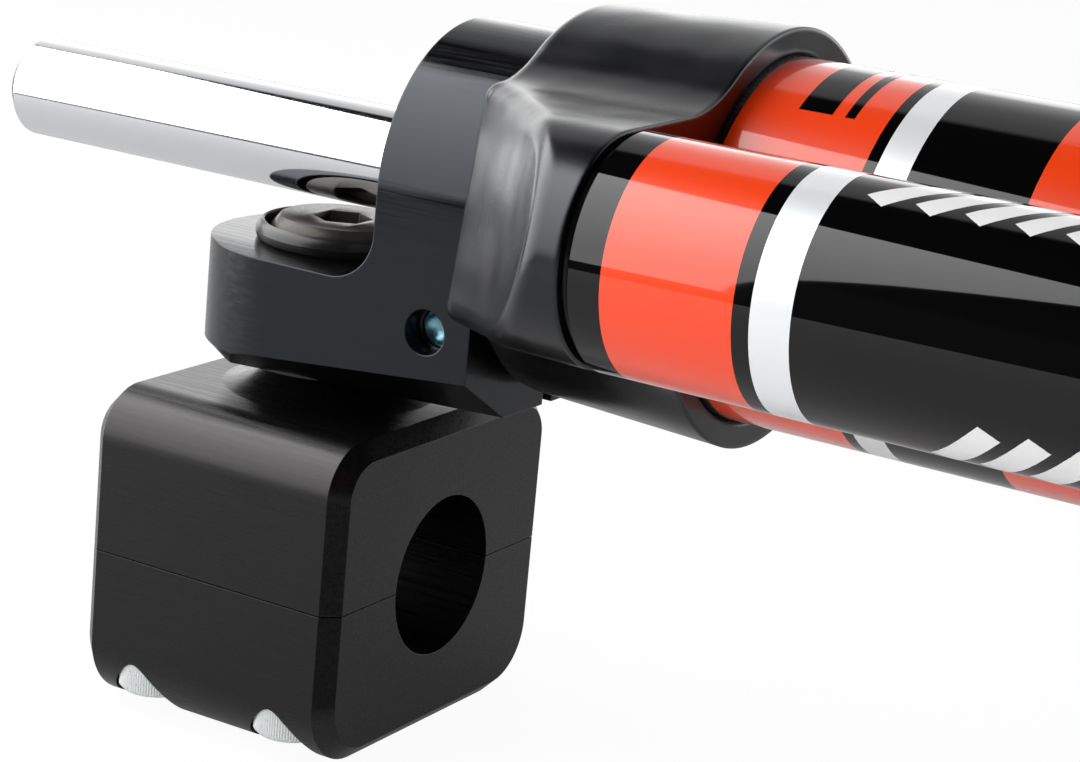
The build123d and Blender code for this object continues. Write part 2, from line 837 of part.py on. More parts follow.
def make_piston_band():
    """Wear band round the piston."""
    half = piston_band_width / 2
    outer = main_tube_inner - running_gap
    inner = outer - piston_band_thickness + static_gap
    return tube_x(piston_centre - half, piston_centre + half, outer, inner, damper_axis)


def make_shims():
    """Stack of valve shims on each side of the piston, smaller towards its nut."""
    shims = []
    for index in range(shim_count):
        start = piston_centre - piston_length / 2 - (index + 1) * shim_thickness
        radius = shim_largest - index * shim_step
        shim = tube_x(start, start + shim_thickness, radius, shaft_radius + static_gap, damper_axis)
        shims += [shim, mirror(shim, about=middle_plane)]
    return Compound(children=shims)


def make_piston_nuts():
    """Collars that hold the shims and the piston on the shaft."""
    start = piston_centre - piston_stack / 2
    nut = hex_x(start, start + piston_nut_length, 2 * piston_nut_radius, damper_axis)
    nut -= rod_x(start, start + piston_nut_length, shaft_radius + static_gap, damper_axis)
    return both_ends(nut)


def floating_place():
    """X of the floating piston's front face."""
    return spigot_end + floating_setback


def make_floating_piston():
    """Ring piston between oil and gas, running between the reservoir and transfer tubes."""
    start = floating_place()
    end = start + floating_length
    radius = reservoir_inner - running_gap
    inner = transfer_tube_radius + running_gap
    groove = o_ring_groove_width / 2
    middle = start + floating_length / 2
    piston = tube_x(start, end, radius, inner, reservoir_axis)
    piston -= tube_x(end - floating_cup_depth, end, radius - floating_cup_wall, inner + floating_cup_wall, reservoir_axis)
    piston -= tube_x(middle - groove, middle + groove, radius + 1, radius - o_ring_section, reservoir_axis)
    return piston


def make_floating_o_ring():
    """O-ring round the floating piston."""
    middle = floating_place() + floating_length / 2
    major = reservoir_inner - running_gap - o_ring_section / 2
    return o_ring_x(middle, major, reservoir_axis)


def flats_bar(start, end, radius, flats):
    """Round bar along X with two flats, so that it can slide but not turn."""
    y, z = reservoir_axis
    return rod_x(start, end, radius, reservoir_axis) & (
        Pos((start + end) / 2, y, z) * Box(end - start, flats, 4 * radius)
    )


def needle_seat():
    """X of the edge that the needle closes."""
    return 2 * piston_centre - passage_end() - passage_radius


def needle_start():
    """X of the needle's point when the adjuster is fully open."""
    entry = passage_radius * needle_tip_length / needle_taper_end
    return needle_seat() - entry + 2 * running_gap + needle_lift


def needle_end():
    """X of the needle's outer end, inside the plug."""
    return rear_face + plug_hex_height - 1


def make_adjuster_needle():
    """Needle with a conical point, guided by its flats and threaded for the knob's stem."""
    start = needle_start()
    root = start + needle_tip_length
    point = turned_x([(start, 0), (root, needle_taper_end), (root, 0)], reservoir_axis)
    needle = flats_bar(root, needle_end(), needle_radius, needle_flats) + point
    threaded_from = root + needle_point_depth
    return needle - rod_x(threaded_from, needle_end(), needle_thread / 2 + running_gap, reservoir_axis)


def make_adjuster_plug():
    """Hexagon-headed plug that guides the needle and carries the knob."""
    top = rear_face + plug_hex_height
    plug = rod_x(rear_face - plug_depth, rear_face, plug_radius, reservoir_axis)
    plug += hex_x(rear_face, top, plug_hex, reservoir_axis)
    plug += rod_x(top, top + knob_journal_length, knob_journal_radius, reservoir_axis)
    guide = flats_bar(
        rear_face - plug_depth, top, needle_radius + running_gap, needle_flats + 2 * running_gap
    )
    stem_way = rod_x(top - 1, top + knob_journal_length, needle_thread / 2 + stem_way_gap, reservoir_axis)
    return plug - guide - stem_way


def make_adjuster_knob():
    """Scalloped knob on the plug's journal; its stem drives the needle."""
    start = rear_face + plug_hex_height + face_gap
    end = start + knob_length
    knob = rod_x(start, end, knob_radius, reservoir_axis)
    rims = knob.edges().filter_by(GeomType.CIRCLE)
    knob = chamfer(rims, knob_edge)
    y, z = reservoir_axis
    for index in range(knob_scallops):
        angle = 2 * math.pi * index / knob_scallops
        reach = knob_radius + knob_scallop_radius * 0.45
        scallop_axis = (y + reach * math.cos(angle), z + reach * math.sin(angle))
        knob -= rod_x(start, end, knob_scallop_radius, scallop_axis)
    pocket_end = rear_face + plug_hex_height + knob_journal_length + face_gap
    knob -= rod_x(start, pocket_end, knob_journal_radius + running_gap, reservoir_axis)
    stem_start = needle_start() + needle_tip_length + needle_point_depth + needle_lift + face_gap
    return knob + rod_x(stem_start, pocket_end + 1, needle_thread / 2, reservoir_axis)


def make_gas_valve():
    """Gas filling valve screwed into the side of the rear cap's small boss."""
    x, seat = valve_place()
    z = reservoir_axis[1]
    valve = rod_y(seat, seat + valve_depth, valve_radius, x, z)
    hexagon = extrude(RegularPolygon(valve_hex / 2, 6, major_radius=False), valve_hex_height)
    valve += Pos(x, seat, z) * Rot(90, 0, 0) * hexagon
    stem_end = seat - valve_hex_height - valve_stem_length
    valve += rod_y(stem_end, seat - valve_hex_height, valve_stem_radius, x, z)
    return valve - rod_y(stem_end, stem_end + valve_stem_length / 2, valve_core_radius, x, z)


def make_valve_cap():
    """Screw cap over the valve's stem."""
    x, seat = valve_place()
    z = reservoir_axis[1]
    base = seat - valve_hex_height
    end = base - valve_cap_length
    cap = rod_y(end, base, valve_cap_radius, x, z)
    cap = chamfer(cap.edges().sort_by(Axis.Y)[0], valve_cap_edge)
    return cap - rod_y(base - valve_stem_length - 0.4, base, valve_stem_radius + static_gap, x, z)


def make_jam_nut():
    """Thin hexagon nut that locks the rod end."""
    nut = hex_x(shaft_shoulder, rod_end_start, jam_nut_hex, damper_axis)
    return nut - rod_x(shaft_shoulder, rod_end_start, stud_diameter / 2 + static_gap, damper_axis)


def make_rod_end():
    """Female rod end with a round eye and a shank with two wrench flats."""
    y, z = damper_axis
    head = rod_z(z - rod_end_width / 2, z + rod_end_width / 2, rod_end_head / 2, rod_end_centre, y)
    shank_end = rod_end_centre - rod_end_race / 2
    shank = rod_x(rod_end_start, shank_end, rod_end_shank / 2, damper_axis)
    shank = chamfer(shank.edges().sort_by(Axis.X)[0], rod_end_shank_edge)
    body = head + shank
    flats_place = rod_end_start + rod_end_flats_inset + rod_end_flats_length / 2
    flats = Box(rod_end_flats_length, rod_end_shank, rod_end_shank)
    flats -= Box(rod_end_flats_length, rod_end_shank, rod_end_flats)
    body -= Pos(flats_place, y, z) * flats
    body -= rod_x(rod_end_start, shaft_shoulder + stud_length + 1, stud_diameter / 2 + static_gap, damper_axis)
    eye = rod_z(z - rod_end_width, z + rod_end_width, rod_end_race / 2 + static_gap, rod_end_centre, y)
    return body - eye


def make_rod_end_race():
    """Bearing ring in the rod end's eye."""
    race = Cylinder(rod_end_race / 2, rod_end_race_width) - Sphere(rod_end_ball / 2 + running_gap)
    return Pos(rod_end_centre, *damper_axis) * race


def make_rod_end_ball():
    """Bored ball in the rod end."""
    ball = Sphere(rod_end_ball / 2) & Box(rod_end_ball, rod_end_ball, rod_end_ball_width)
    ball -= Cylinder(rod_end_bore / 2, rod_end_ball_width)
    return Pos(rod_end_centre, *damper_axis) * ball


pieces = {
    "clamp_upper": make_clamp_upper,
    "clamp_lower": make_clamp_lower,
    "clamp_screws": make_clamp_screws,
    "pivot_screw": make_pivot_screw,
    "bearing_ball": make_bearing_ball,
    "bearing_race": make_bearing_race,
    "race_clip": make_race_clip,
    "seal_ring_upper": make_seal_ring_upper,
    "seal_ring_lower": make_seal_ring_lower,
    "mount_arm": make_mount_arm,
    "pinch_screw": make_pinch_screw,
    "front_cap": make_front_cap,
    "rear_cap": make_rear_cap,
    "main_tube": make_main_tube,
    "reservoir_tube": make_reservoir_tube,
    "transfer_tube": make_transfer_tube,
    "tube_o_rings": make_tube_o_rings,
    "reservoir_o_rings": make_reservoir_o_rings,
    "bushings": make_bushings,
    "shaft_seals": make_shaft_seals,
    "wipers": make_wipers,
    "shaft": make_shaft,
    "piston": make_piston,
    "piston_band": make_piston_band,
    "shims": make_shims,
    "piston_nuts": make_piston_nuts,
    "floating_piston": make_floating_piston,
    "floating_o_ring": make_floating_o_ring,
    "adjuster_plug": make_adjuster_plug,
    "adjuster_needle": make_adjuster_needle,
    "adjuster_knob": make_adjuster_knob,
    "gas_valve": make_gas_valve,
    "valve_cap": make_valve_cap,
    "jam_nut": make_jam_nut,
    "rod_end": make_rod_end,
    "rod_end_race": make_rod_end_race,
    "rod_end_ball": make_rod_end_ball,
}

os.makedirs("parts", exist_ok=True)
for name, make in pieces.items():
    export_step(make(), f"parts/{name}.step")
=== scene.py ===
import math

import bpy
from mathutils import Euler, Matrix, Vector


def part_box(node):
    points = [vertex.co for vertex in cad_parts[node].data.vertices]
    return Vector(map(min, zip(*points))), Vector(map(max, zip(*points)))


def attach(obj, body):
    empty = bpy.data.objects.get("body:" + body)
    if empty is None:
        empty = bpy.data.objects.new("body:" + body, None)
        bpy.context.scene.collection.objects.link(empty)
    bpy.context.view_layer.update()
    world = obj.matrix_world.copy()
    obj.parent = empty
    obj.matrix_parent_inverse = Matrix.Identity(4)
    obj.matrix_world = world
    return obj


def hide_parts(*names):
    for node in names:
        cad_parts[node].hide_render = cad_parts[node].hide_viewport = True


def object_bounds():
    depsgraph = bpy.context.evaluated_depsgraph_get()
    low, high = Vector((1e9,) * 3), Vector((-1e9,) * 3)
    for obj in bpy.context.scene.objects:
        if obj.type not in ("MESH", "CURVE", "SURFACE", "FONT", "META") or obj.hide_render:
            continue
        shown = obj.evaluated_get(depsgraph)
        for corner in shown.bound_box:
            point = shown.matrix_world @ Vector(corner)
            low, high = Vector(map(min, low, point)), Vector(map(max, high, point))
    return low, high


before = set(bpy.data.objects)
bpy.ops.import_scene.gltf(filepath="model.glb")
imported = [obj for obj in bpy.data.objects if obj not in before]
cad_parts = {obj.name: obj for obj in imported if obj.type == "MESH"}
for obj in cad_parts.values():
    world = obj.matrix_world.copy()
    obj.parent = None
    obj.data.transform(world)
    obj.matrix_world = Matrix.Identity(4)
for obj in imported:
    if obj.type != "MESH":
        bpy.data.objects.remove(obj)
CAD_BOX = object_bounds()

bl_info = {
    "name": "Steering damper",
    "version": (1, 0, 0),
    "blender": (4, 5, 0),
    "location": "View3D > Sidebar > Damper",
    "description": "Dresses the packed steering damper with modelled pieces, finishes and stage",
    "category": "Object",
}

MM = 0.001

# Points closer together than this count as one
HAIR = 0.001 * MM

# How far a cutter stands out of the piece it cuts
OVERRUN = 1 * MM

# How high the fine grain of a finish stands
GRAIN_HEIGHT = 0.02 * MM


# The frame's own sizes, which the pieces take over

class NodeBox:
    """Lowest corner, highest corner and centre of a frame node."""

    def __init__(self, node):
        self.low, self.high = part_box(node)
        self.middle = (self.low + self.high) / 2


SHAFT = NodeBox("shaft")
MAIN_TUBE = NodeBox("main_tube")
RESERVOIR_TUBE = NodeBox("reservoir_tube")
FRONT_CAP = NodeBox("front_cap")
CLAMP_SCREWS = NodeBox("clamp_screws")
PIVOT_SCREW = NodeBox("pivot_screw")
SEAL_RING = NodeBox("seal_ring_upper")
PINCH_SCREW = NodeBox("pinch_screw")
JAM_NUT = NodeBox("jam_nut")


def linear(code):
    """sRGB hex code to linear red, green, blue and full alpha."""
    coded = [int(code[i:i + 2], 16) / 255 for i in (1, 3, 5)]
    return (*(c / 12.92 if c <= 0.04045 else ((c + 0.055) / 1.055) ** 2.4 for c in coded), 1.0)


def length(name, description, default):
    """A size in metres."""
    return bpy.props.FloatProperty(
        name=name, description=description, default=default,
        unit="LENGTH", subtype="DISTANCE", precision=5,
    )


def paint(name, description, code):
    """A colour, given as an sRGB hex code and held linear."""
    return bpy.props.FloatVectorProperty(
        name=name, description=description, default=linear(code)[:3],
        size=3, subtype="COLOR", min=0, max=1,
    )


class DamperSizes(bpy.types.PropertyGroup):
    """Sizes of the modelled pieces."""

    shaft_bevel: length("Shaft bevel", "Bevel at the free end of the shaft", 2.0 * MM)
    shaft_shoulder: length("Shaft shoulder", "Where the rod end's nut begins", JAM_NUT.low.x)
    stud_radius: length("Stud radius", "Radius of the stud behind the shoulder", 6.0 * MM)
    spigot: length("Spigot", "How far the front cap reaches into the main tube", 12.0 * MM)
    film_gap: length("Film gap", "Bare edge of the main tube in front of its film", 0.7 * MM)
    main_wall: length("Main tube wall", "Thickness of the main tube", 2.5 * MM)
    main_orange_end: length("Front band end", "End of the main tube's front orange", 93.0 * MM)
    main_silver_start: length("Silver start", "Start of the main tube's silver", 94.7 * MM)
    main_silver_end: length("Silver end", "End of the main tube's silver", 99.4 * MM)
    main_second_start: length("Second start", "Start of the main tube's second orange", 116.6 * MM)
    main_second_end: length("Second end", "End of the main tube's second orange", 136.0 * MM)
    reservoir_wall: length("Reservoir wall", "Thickness of the reservoir tube", 1.6 * MM)
    reservoir_orange_start: length("Orange start", "Start of the reservoir's orange", 77.7 * MM)
    reservoir_orange_end: length("Orange end", "End of the reservoir's orange", 96.3 * MM)
    reservoir_silver_start: length("Silver start", "Start of the reservoir's silver", 98.7 * MM)
    reservoir_silver_end: length("Silver end", "End of the reservoir's silver", 104.2 * MM)
    screw_head_height: length("Clamp screw head height", "Height of the knurled heads", 5.3 * MM)
    screw_head_recess: length("Clamp screw recess", "How deep the heads lie in the clamp", 2.6 * MM)
    screw_head_radius: length("Clamp screw head radius", "Radius over the knurl", 5.6 * MM)
    screw_shank_radius: length("Clamp screw shank", "Radius of the threaded shank", 3.97 * MM)
    screw_socket: length("Clamp screw socket", "Across the flats of the socket", 6.35 * MM)
    knurl_depth: length("Knurl depth", "Depth of the straight knurl", 0.16 * MM)
    pivot_head_radius: length("Pivot head radius", "Radius of the pivot screw's head", 10.9 * MM)
    pivot_flat_radius: length("Pivot flat radius", "Radius of the flat on its head", 9.5 * MM)
    pivot_socket: length("Pivot socket", "Across the flats of the pivot screw's socket", 8.0 * MM)
    pivot_socket_depth: length("Pivot socket depth", "Depth of the pivot screw's socket", 3.5 * MM)
    ring_plug: length("Ring plug", "Depth of the seal ring inside the arm", 2.0 * MM)
    ring_inner_radius: length("Ring inner radius", "Inner radius of the seal ring", 11.9 * MM)
    pinch_head_height: length("Pinch head height", "Height of the pinch screw's head", 6.0 * MM)
    pinch_radius: length("Pinch screw radius", "Radius of the pinch screw", 3.0 * MM)
    pinch_socket: length("Pinch screw socket", "Across the flats of the socket", 5.0 * MM)
    pinch_cup: length("Pinch screw cup", "Depth of the cup in the screw's end", 0.9 * MM)
    mark_stroke: length("Stripe width", "Width of one slanted stripe", 3.4 * MM)
    mark_pitch: length("Stripe pitch", "Distance between the slanted stripes", 6.4 * MM)
    mark_length: length("Stripe length", "Length of one slanted stripe", 13.0 * MM)
    upper_marks_start: length("Upper stripes", "Where the upper stripes start", 113.0 * MM)
    lower_marks_start: length("Lower stripes", "Where the lower stripes start", 126.0 * MM)


class DamperFinishes(bpy.types.PropertyGroup):
    """Colours of the finishes."""

    orange: paint("Band orange", "Orange-red of the printed bands", "#E03B08")
    silver: paint("Band silver", "Silver of the printed bands", "#E6E8EA")
    gloss_black: paint("Gloss black", "Gloss black of the tubes", "#050505")
    anodised_black: paint("Anodised black", "Black of the clamp and the mount", "#060607")
    cast_black: paint("Cast black", "Satin black of the caps", "#08080A")


class DamperStage(bpy.types.PropertyGroup):
    """Camera and light."""

    camera_place: bpy.props.FloatVectorProperty(
        name="Camera place", description="Place of the camera", size=3,
        default=(250.42 * MM, -370.03 * MM, 149.65 * MM), unit="LENGTH", subtype="TRANSLATION",
    )
    camera_turn: bpy.props.FloatVectorProperty(
        name="Camera turn", description="Turn of the camera about X, Y and Z", size=3,
        default=(math.radians(74.8214), math.radians(-5.2194), math.radians(31.3152)),
        unit="ROTATION", subtype="EULER",
    )
    lens: bpy.props.FloatProperty(
        name="Focal length", description="Focal length on a sensor 36 mm wide",
        default=98.58, unit="CAMERA",
    )
    key_power: bpy.props.FloatProperty(
        name="Key power", description="Power of the large soft light", default=8.6, unit="POWER"
    )
    wall_light: bpy.props.FloatProperty(
        name="Wall light", description="Brightness of the white wall behind the damper", default=2.3
    )
    table_edge: length("Table edge", "Distance from the damper to the table's left edge", 0.38)


# Hand work shared by the pieces

# Turns that lay a primitive's Z axis along the lettered axis
TURN_TO = {"X": (0, math.pi / 2, 0), "Y": (math.pi / 2, 0, 0), "Z": (0, 0, 0)}


def start_fresh():
    """Leave edit mode and select nothing, so that the next operator touches only its own piece."""
    if bpy.context.mode != "OBJECT":
        bpy.ops.object.mode_set(mode="OBJECT")
    bpy.ops.object.select_all(action="DESELECT")


def pick(piece):
    """Select this piece alone and make it the active one."""
    start_fresh()
    piece.select_set(True)
    bpy.context.view_layer.objects.active = piece


def settle(piece, name):
    """Name the piece and put its place into its mesh."""
    piece.name = name
    piece.data.name = name
    bpy.ops.object.transform_apply(location=True, rotation=True, scale=True)


def turned(name, axis, profile, sides, hollow=False):
    """Lathe work: a ring drawn out along the axis, point by point of the profile.

    axis is (its letter, a point on it); the profile holds (place along it, radius) in metres."""
    along, centre = axis
    start_fresh()
    place, radius = profile[0]
    where = Vector(centre)
    number = "XYZ".index(along)
    where[number] = place
    bpy.ops.mesh.primitive_circle_add(
        vertices=sides, radius=radius, fill_type="NOTHING", location=where, rotation=TURN_TO[along]
    )
    piece = bpy.context.object
    settle(piece, name)
    bpy.ops.object.mode_set(mode="EDIT")
    bpy.ops.mesh.select_all(action="SELECT")
    for next_place, next_radius in profile[1:]:
        step = Vector()
        step[number] = next_place - place
        bpy.ops.mesh.extrude_region_move(TRANSFORM_OT_translate={"value": step})
        scale = Vector((next_radius / radius,) * 3)
        scale[number] = 1
        bpy.ops.transform.resize(value=scale, center_override=where)
        place, radius = next_place, next_radius
    bpy.ops.mesh.select_all(action="SELECT")
    bpy.ops.mesh.remove_doubles(threshold=HAIR)
    if not hollow:
        bpy.ops.mesh.fill_holes(sides=0)
    bpy.ops.mesh.normals_make_consistent(inside=False)
    bpy.ops.object.mode_set(mode="OBJECT")
    return piece


def apply_modifier(piece, kind, **settings):
    """Add a modifier with its settings and apply it."""
    pick(piece)
    bpy.ops.object.modifier_add(type=kind)
    modifier = piece.modifiers[-1]
    for key, value in settings.items():
        setattr(modifier, key, value)
    bpy.ops.object.modifier_apply(modifier=modifier.name)


def round_edges(piece, width, angle=30):
    """Small bevel on every edge sharper than the angle."""
    apply_modifier(
        piece, "BEVEL", width=width, segments=2,
        limit_method="ANGLE", angle_limit=math.radians(angle),
    )


def smooth(piece, angle=30):
    """Smooth shading that keeps edges above the angle."""
    pick(piece)
    bpy.ops.object.shade_smooth_by_angle(angle=math.radians(angle))


def hexagon_cutter(axis, start, end, across_flats):
    """Hexagonal bar along the axis that cuts a socket."""
    along, centre = axis
    start_fresh()
    where = Vector(centre)
    where["XYZ".index(along)] = (start + end) / 2
    bpy.ops.mesh.primitive_cylinder_add(
        vertices=6, radius=across_flats / math.sqrt(3), depth=end - start,
        location=where, rotation=TURN_TO[along],
    )
    cutter = bpy.context.object
    settle(cutter, "socket_cutter")
    return cutter


def cut(piece, cutter):
    """Cut one piece out of another and drop the cutter."""
    apply_modifier(piece, "BOOLEAN", operation="DIFFERENCE", object=cutter, solver="EXACT")
    bpy.data.objects.remove(cutter)


def give(piece, *finishes):
    """Put the finishes in the piece's material slots, in order."""
    piece.data.materials.clear()
    for finish in finishes:
        piece.data.materials.append(finish)


# Finishes. A noise scale counts cells per metre, so 2.8 / MM is 2.8 cells in each millimetre

def add(tree, kind, inputs=None, **settings):
    """A node with its settings; an input is a value or the socket that feeds it."""
    node = tree.nodes.new(kind)
    for key, value in settings.items():
        setattr(node, key, value)
    for socket, value in (inputs or {}).items():
        if isinstance(value, bpy.types.NodeSocket):
            tree.links.new(value, node.inputs[socket])
        else:
            node.inputs[socket].default_value = value
    return node


def begin(name, colour, metallic, roughness):
    """A finish with its colour, metal share and roughness set on the shader itself."""
    finish = bpy.data.materials.new(name)
    finish.use_nodes = True
    tree = finish.node_tree
    shader = tree.nodes["Principled BSDF"]
    shader.inputs["Base Color"].default_value = (*colour[:3], 1.0)
    shader.inputs["Metallic"].default_value = metallic
    shader.inputs["Roughness"].default_value = roughness
    return finish, tree, shader


def anodised_aluminium(name, colour, smoothest, roughest, relief, edge, tint):
    """Billet aluminium, milled, then anodised black: satin, with fine tool lines along X."""
    finish, tree, shader = begin(name, colour, metallic=0.0, roughness=(smoothest + roughest) / 2)
    # The dyed oxide layer shines a little less than a clear lacquer
    shader.inputs["Specular IOR Level"].default_value = 0.45
    shader.inputs["Specular Tint"].default_value = linear(tint)
    place = add(tree, "ShaderNodeTexCoord")
    # Cutter marks every 0.6 mm across the feed, 20 mm long along it
    lines = add(tree, "ShaderNodeMapping", {
        "Vector": place.outputs["Object"], "Scale": (0.05 / MM, 1.7 / MM, 1.7 / MM),
    })
    marks = add(tree, "ShaderNodeTexNoise", {
        "Vector": lines.outputs["Vector"], "Scale": 1.0, "Detail": 3.0,
    })
    rough = add(tree, "ShaderNodeMapRange", {
        "Value": marks.outputs["Fac"], "From Min": 0.3, "From Max": 0.7,
        "To Min": smoothest, "To Max": roughest,
    })
    tree.links.new(rough.outputs["Result"], shader.inputs["Roughness"])
    edges = add(tree, "ShaderNodeBevel", {"Radius": edge}, samples=8)
    bump = add(tree, "ShaderNodeBump", {
        "Height": marks.outputs["Fac"], "Strength": relief, "Distance": GRAIN_HEIGHT,
        "Normal": edges.outputs["Normal"],
    })
    tree.links.new(bump.outputs["Normal"], shader.inputs["Normal"])
    return finish


def bead_blasted_black_casting(colour):
    """Cast aluminium, bead blasted and coated satin black: fine grit, broad soft highlights."""
    finish, tree, shader = begin(
        "bead_blasted_black_casting", colour, metallic=0.0, roughness=0.25
    )
    # The coating shines a little more than a clear lacquer, and faintly cool
    shader.inputs["Specular IOR Level"].default_value = 0.62
    shader.inputs["Specular Tint"].default_value = linear("#F0F4FB")
    place = add(tree, "ShaderNodeTexCoord")
    # Grit 0.36 mm across, over hand-dressed waves 12.5 mm apart
    grit = add(tree, "ShaderNodeTexNoise", {
        "Vector": place.outputs["Object"], "Scale": 2.8 / MM, "Detail": 2.0,
    })
    cloud = add(tree, "ShaderNodeTexNoise", {
        "Vector": place.outputs["Object"], "Scale": 0.08 / MM, "Detail": 1.0,
    })
    rough = add(tree, "ShaderNodeMapRange", {
        "Value": cloud.outputs["Fac"], "From Min": 0.3, "From Max": 0.7,
        "To Min": 0.21, "To Max": 0.28,
    })
    tree.links.new(rough.outputs["Result"], shader.inputs["Roughness"])
    # Cast edges are rounded by a millimetre
    edges = add(tree, "ShaderNodeBevel", {"Radius": 1.0 * MM}, samples=8)
    waves = add(tree, "ShaderNodeBump", {
        "Height": cloud.outputs["Fac"], "Strength": 0.7, "Distance": 0.5 * MM,
        "Normal": edges.outputs["Normal"],
    })
    bump = add(tree, "ShaderNodeBump", {
        "Height": grit.outputs["Fac"], "Strength": 0.25, "Distance": GRAIN_HEIGHT,
        "Normal": waves.outputs["Normal"],
    })
    tree.links.new(bump.outputs["Normal"], shader.inputs["Normal"])
    return finish


def ground_hard_chrome():
    """Hard chrome, ground and polished: mirror bright with hairlines round the shaft."""
    finish, tree, shader = begin(
        "ground_hard_chrome", linear("#E3E4E7"), metallic=1.0, roughness=0.07
    )
    place = add(tree, "ShaderNodeTexCoord")
    # Grinding marks every 0.3 mm along the shaft, drawn coarse enough to show
    rings = add(tree, "ShaderNodeMapping", {
        "Vector": place.outputs["Object"], "Scale": (3.3 / MM, 0.02 / MM, 0.02 / MM),
    })
    marks = add(tree, "ShaderNodeTexNoise", {
        "Vector": rings.outputs["Vector"], "Scale": 1.0, "Detail": 2.0,
    })
    rough = add(tree, "ShaderNodeMapRange", {
        "Value": marks.outputs["Fac"], "To Min": 0.04, "To Max": 0.12,
    })
    tree.links.new(rough.outputs["Result"], shader.inputs["Roughness"])
    return finish


def gloss_print(name, colour, metallic=0.0, roughness=0.3, coat=1.0, ink_shine=0.0):
    """Film on the tube: the ink's softer shine under a clear, nearly mirror-like gloss coat."""
    finish, tree, shader = begin(name, colour, metallic, roughness)
    shader.inputs["Specular IOR Level"].default_value = ink_shine
    shader.inputs["Coat Weight"].default_value = coat
    shader.inputs["Coat Roughness"].default_value = 0.03
    place = add(tree, "ShaderNodeTexCoord")
    # Faint waves in the film, 12.5 mm apart, keep its reflections from looking ruled
    wave = add(tree, "ShaderNodeTexNoise", {
        "Vector": place.outputs["Object"], "Scale": 0.08 / MM, "Detail": 1.0,
    })
    bump = add(tree, "ShaderNodeBump", {
        "Height": wave.outputs["Fac"], "Strength": 0.03, "Distance": 0.05 * MM,
    })
    tree.links.new(bump.outputs["Normal"], shader.inputs["Normal"])
    tree.links.new(bump.outputs["Normal"], shader.inputs["Coat Normal"])
    return finish


def plated_metal(name, colour, roughness, grain, relief=0.15, metallic=1.0):
    """Metal with a plated, phosphated or drawn skin; grain is the size of its speckle in metres."""
    finish, tree, shader = begin(name, colour, metallic, roughness)
    place = add(tree, "ShaderNodeTexCoord")
    # The speckle breaks up the highlights, in roughness by a quarter and in relief
    speckle = add(tree, "ShaderNodeTexNoise", {
        "Vector": place.outputs["Object"], "Scale": 1 / grain, "Detail": 3.0,
    })
    rough = add(tree, "ShaderNodeMapRange", {
        "Value": speckle.outputs["Fac"], "From Min": 0.3, "From Max": 0.7,
        "To Min": roughness * 0.75, "To Max": roughness * 1.25,
    })
    tree.links.new(rough.outputs["Result"], shader.inputs["Roughness"])
    bump = add(tree, "ShaderNodeBump", {
        "Height": speckle.outputs["Fac"], "Strength": relief, "Distance": GRAIN_HEIGHT,
    })
    tree.links.new(bump.outputs["Normal"], shader.inputs["Normal"])
    return finish


def soft_part(name, colour, roughness, grain):
    """Rubber or moulded plastic: dull, with the faint texture of its mould."""
    finish, tree, shader = begin(name, colour, metallic=0.0, roughness=roughness)
    place = add(tree, "ShaderNodeTexCoord")
    # The mould's texture softens the edge of every highlight
    texture = add(tree, "ShaderNodeTexNoise", {
        "Vector": place.outputs["Object"], "Scale": 1 / grain, "Detail": 2.0,
    })
    bump = add(tree, "ShaderNodeBump", {
        "Height": texture.outputs["Fac"], "Strength": 0.1, "Distance": GRAIN_HEIGHT,
    })
    tree.links.new(bump.outputs["Normal"], shader.inputs["Normal"])
    return finish


# The finishes by short name, filled by the first operator
FINISHES = {}

NODE_FINISHES = {
    "satin_anodised": ("clamp_upper", "clamp_lower"),
    "anodised": ("mount_arm",),
    "casting": ("front_cap", "rear_cap"),
    "chrome": ("shaft",),
    "gloss": ("main_tube", "reservoir_tube"),
    "tube": ("transfer_tube", "piston", "floating_piston"),
    "zinc": (
        "clamp_screws", "race_clip", "piston_nuts", "adjuster_plug", "gas_valve", "jam_nut",
        "rod_end",
    ),
    "phosphate": ("pivot_screw",),
    "blue_zinc": ("pinch_screw",),
    "bearing": (
        "bearing_ball", "bearing_race", "shims", "adjuster_needle", "rod_end_race", "rod_end_ball",
    ),
    "bronze": ("bushings", "piston_band"),
    "blue": ("adjuster_knob",),
    "rubber": (
        "seal_ring_upper", "seal_ring_lower", "tube_o_rings", "reservoir_o_rings", "shaft_seals",
        "wipers", "floating_o_ring",
    ),
    "plastic": ("valve_cap",),
}


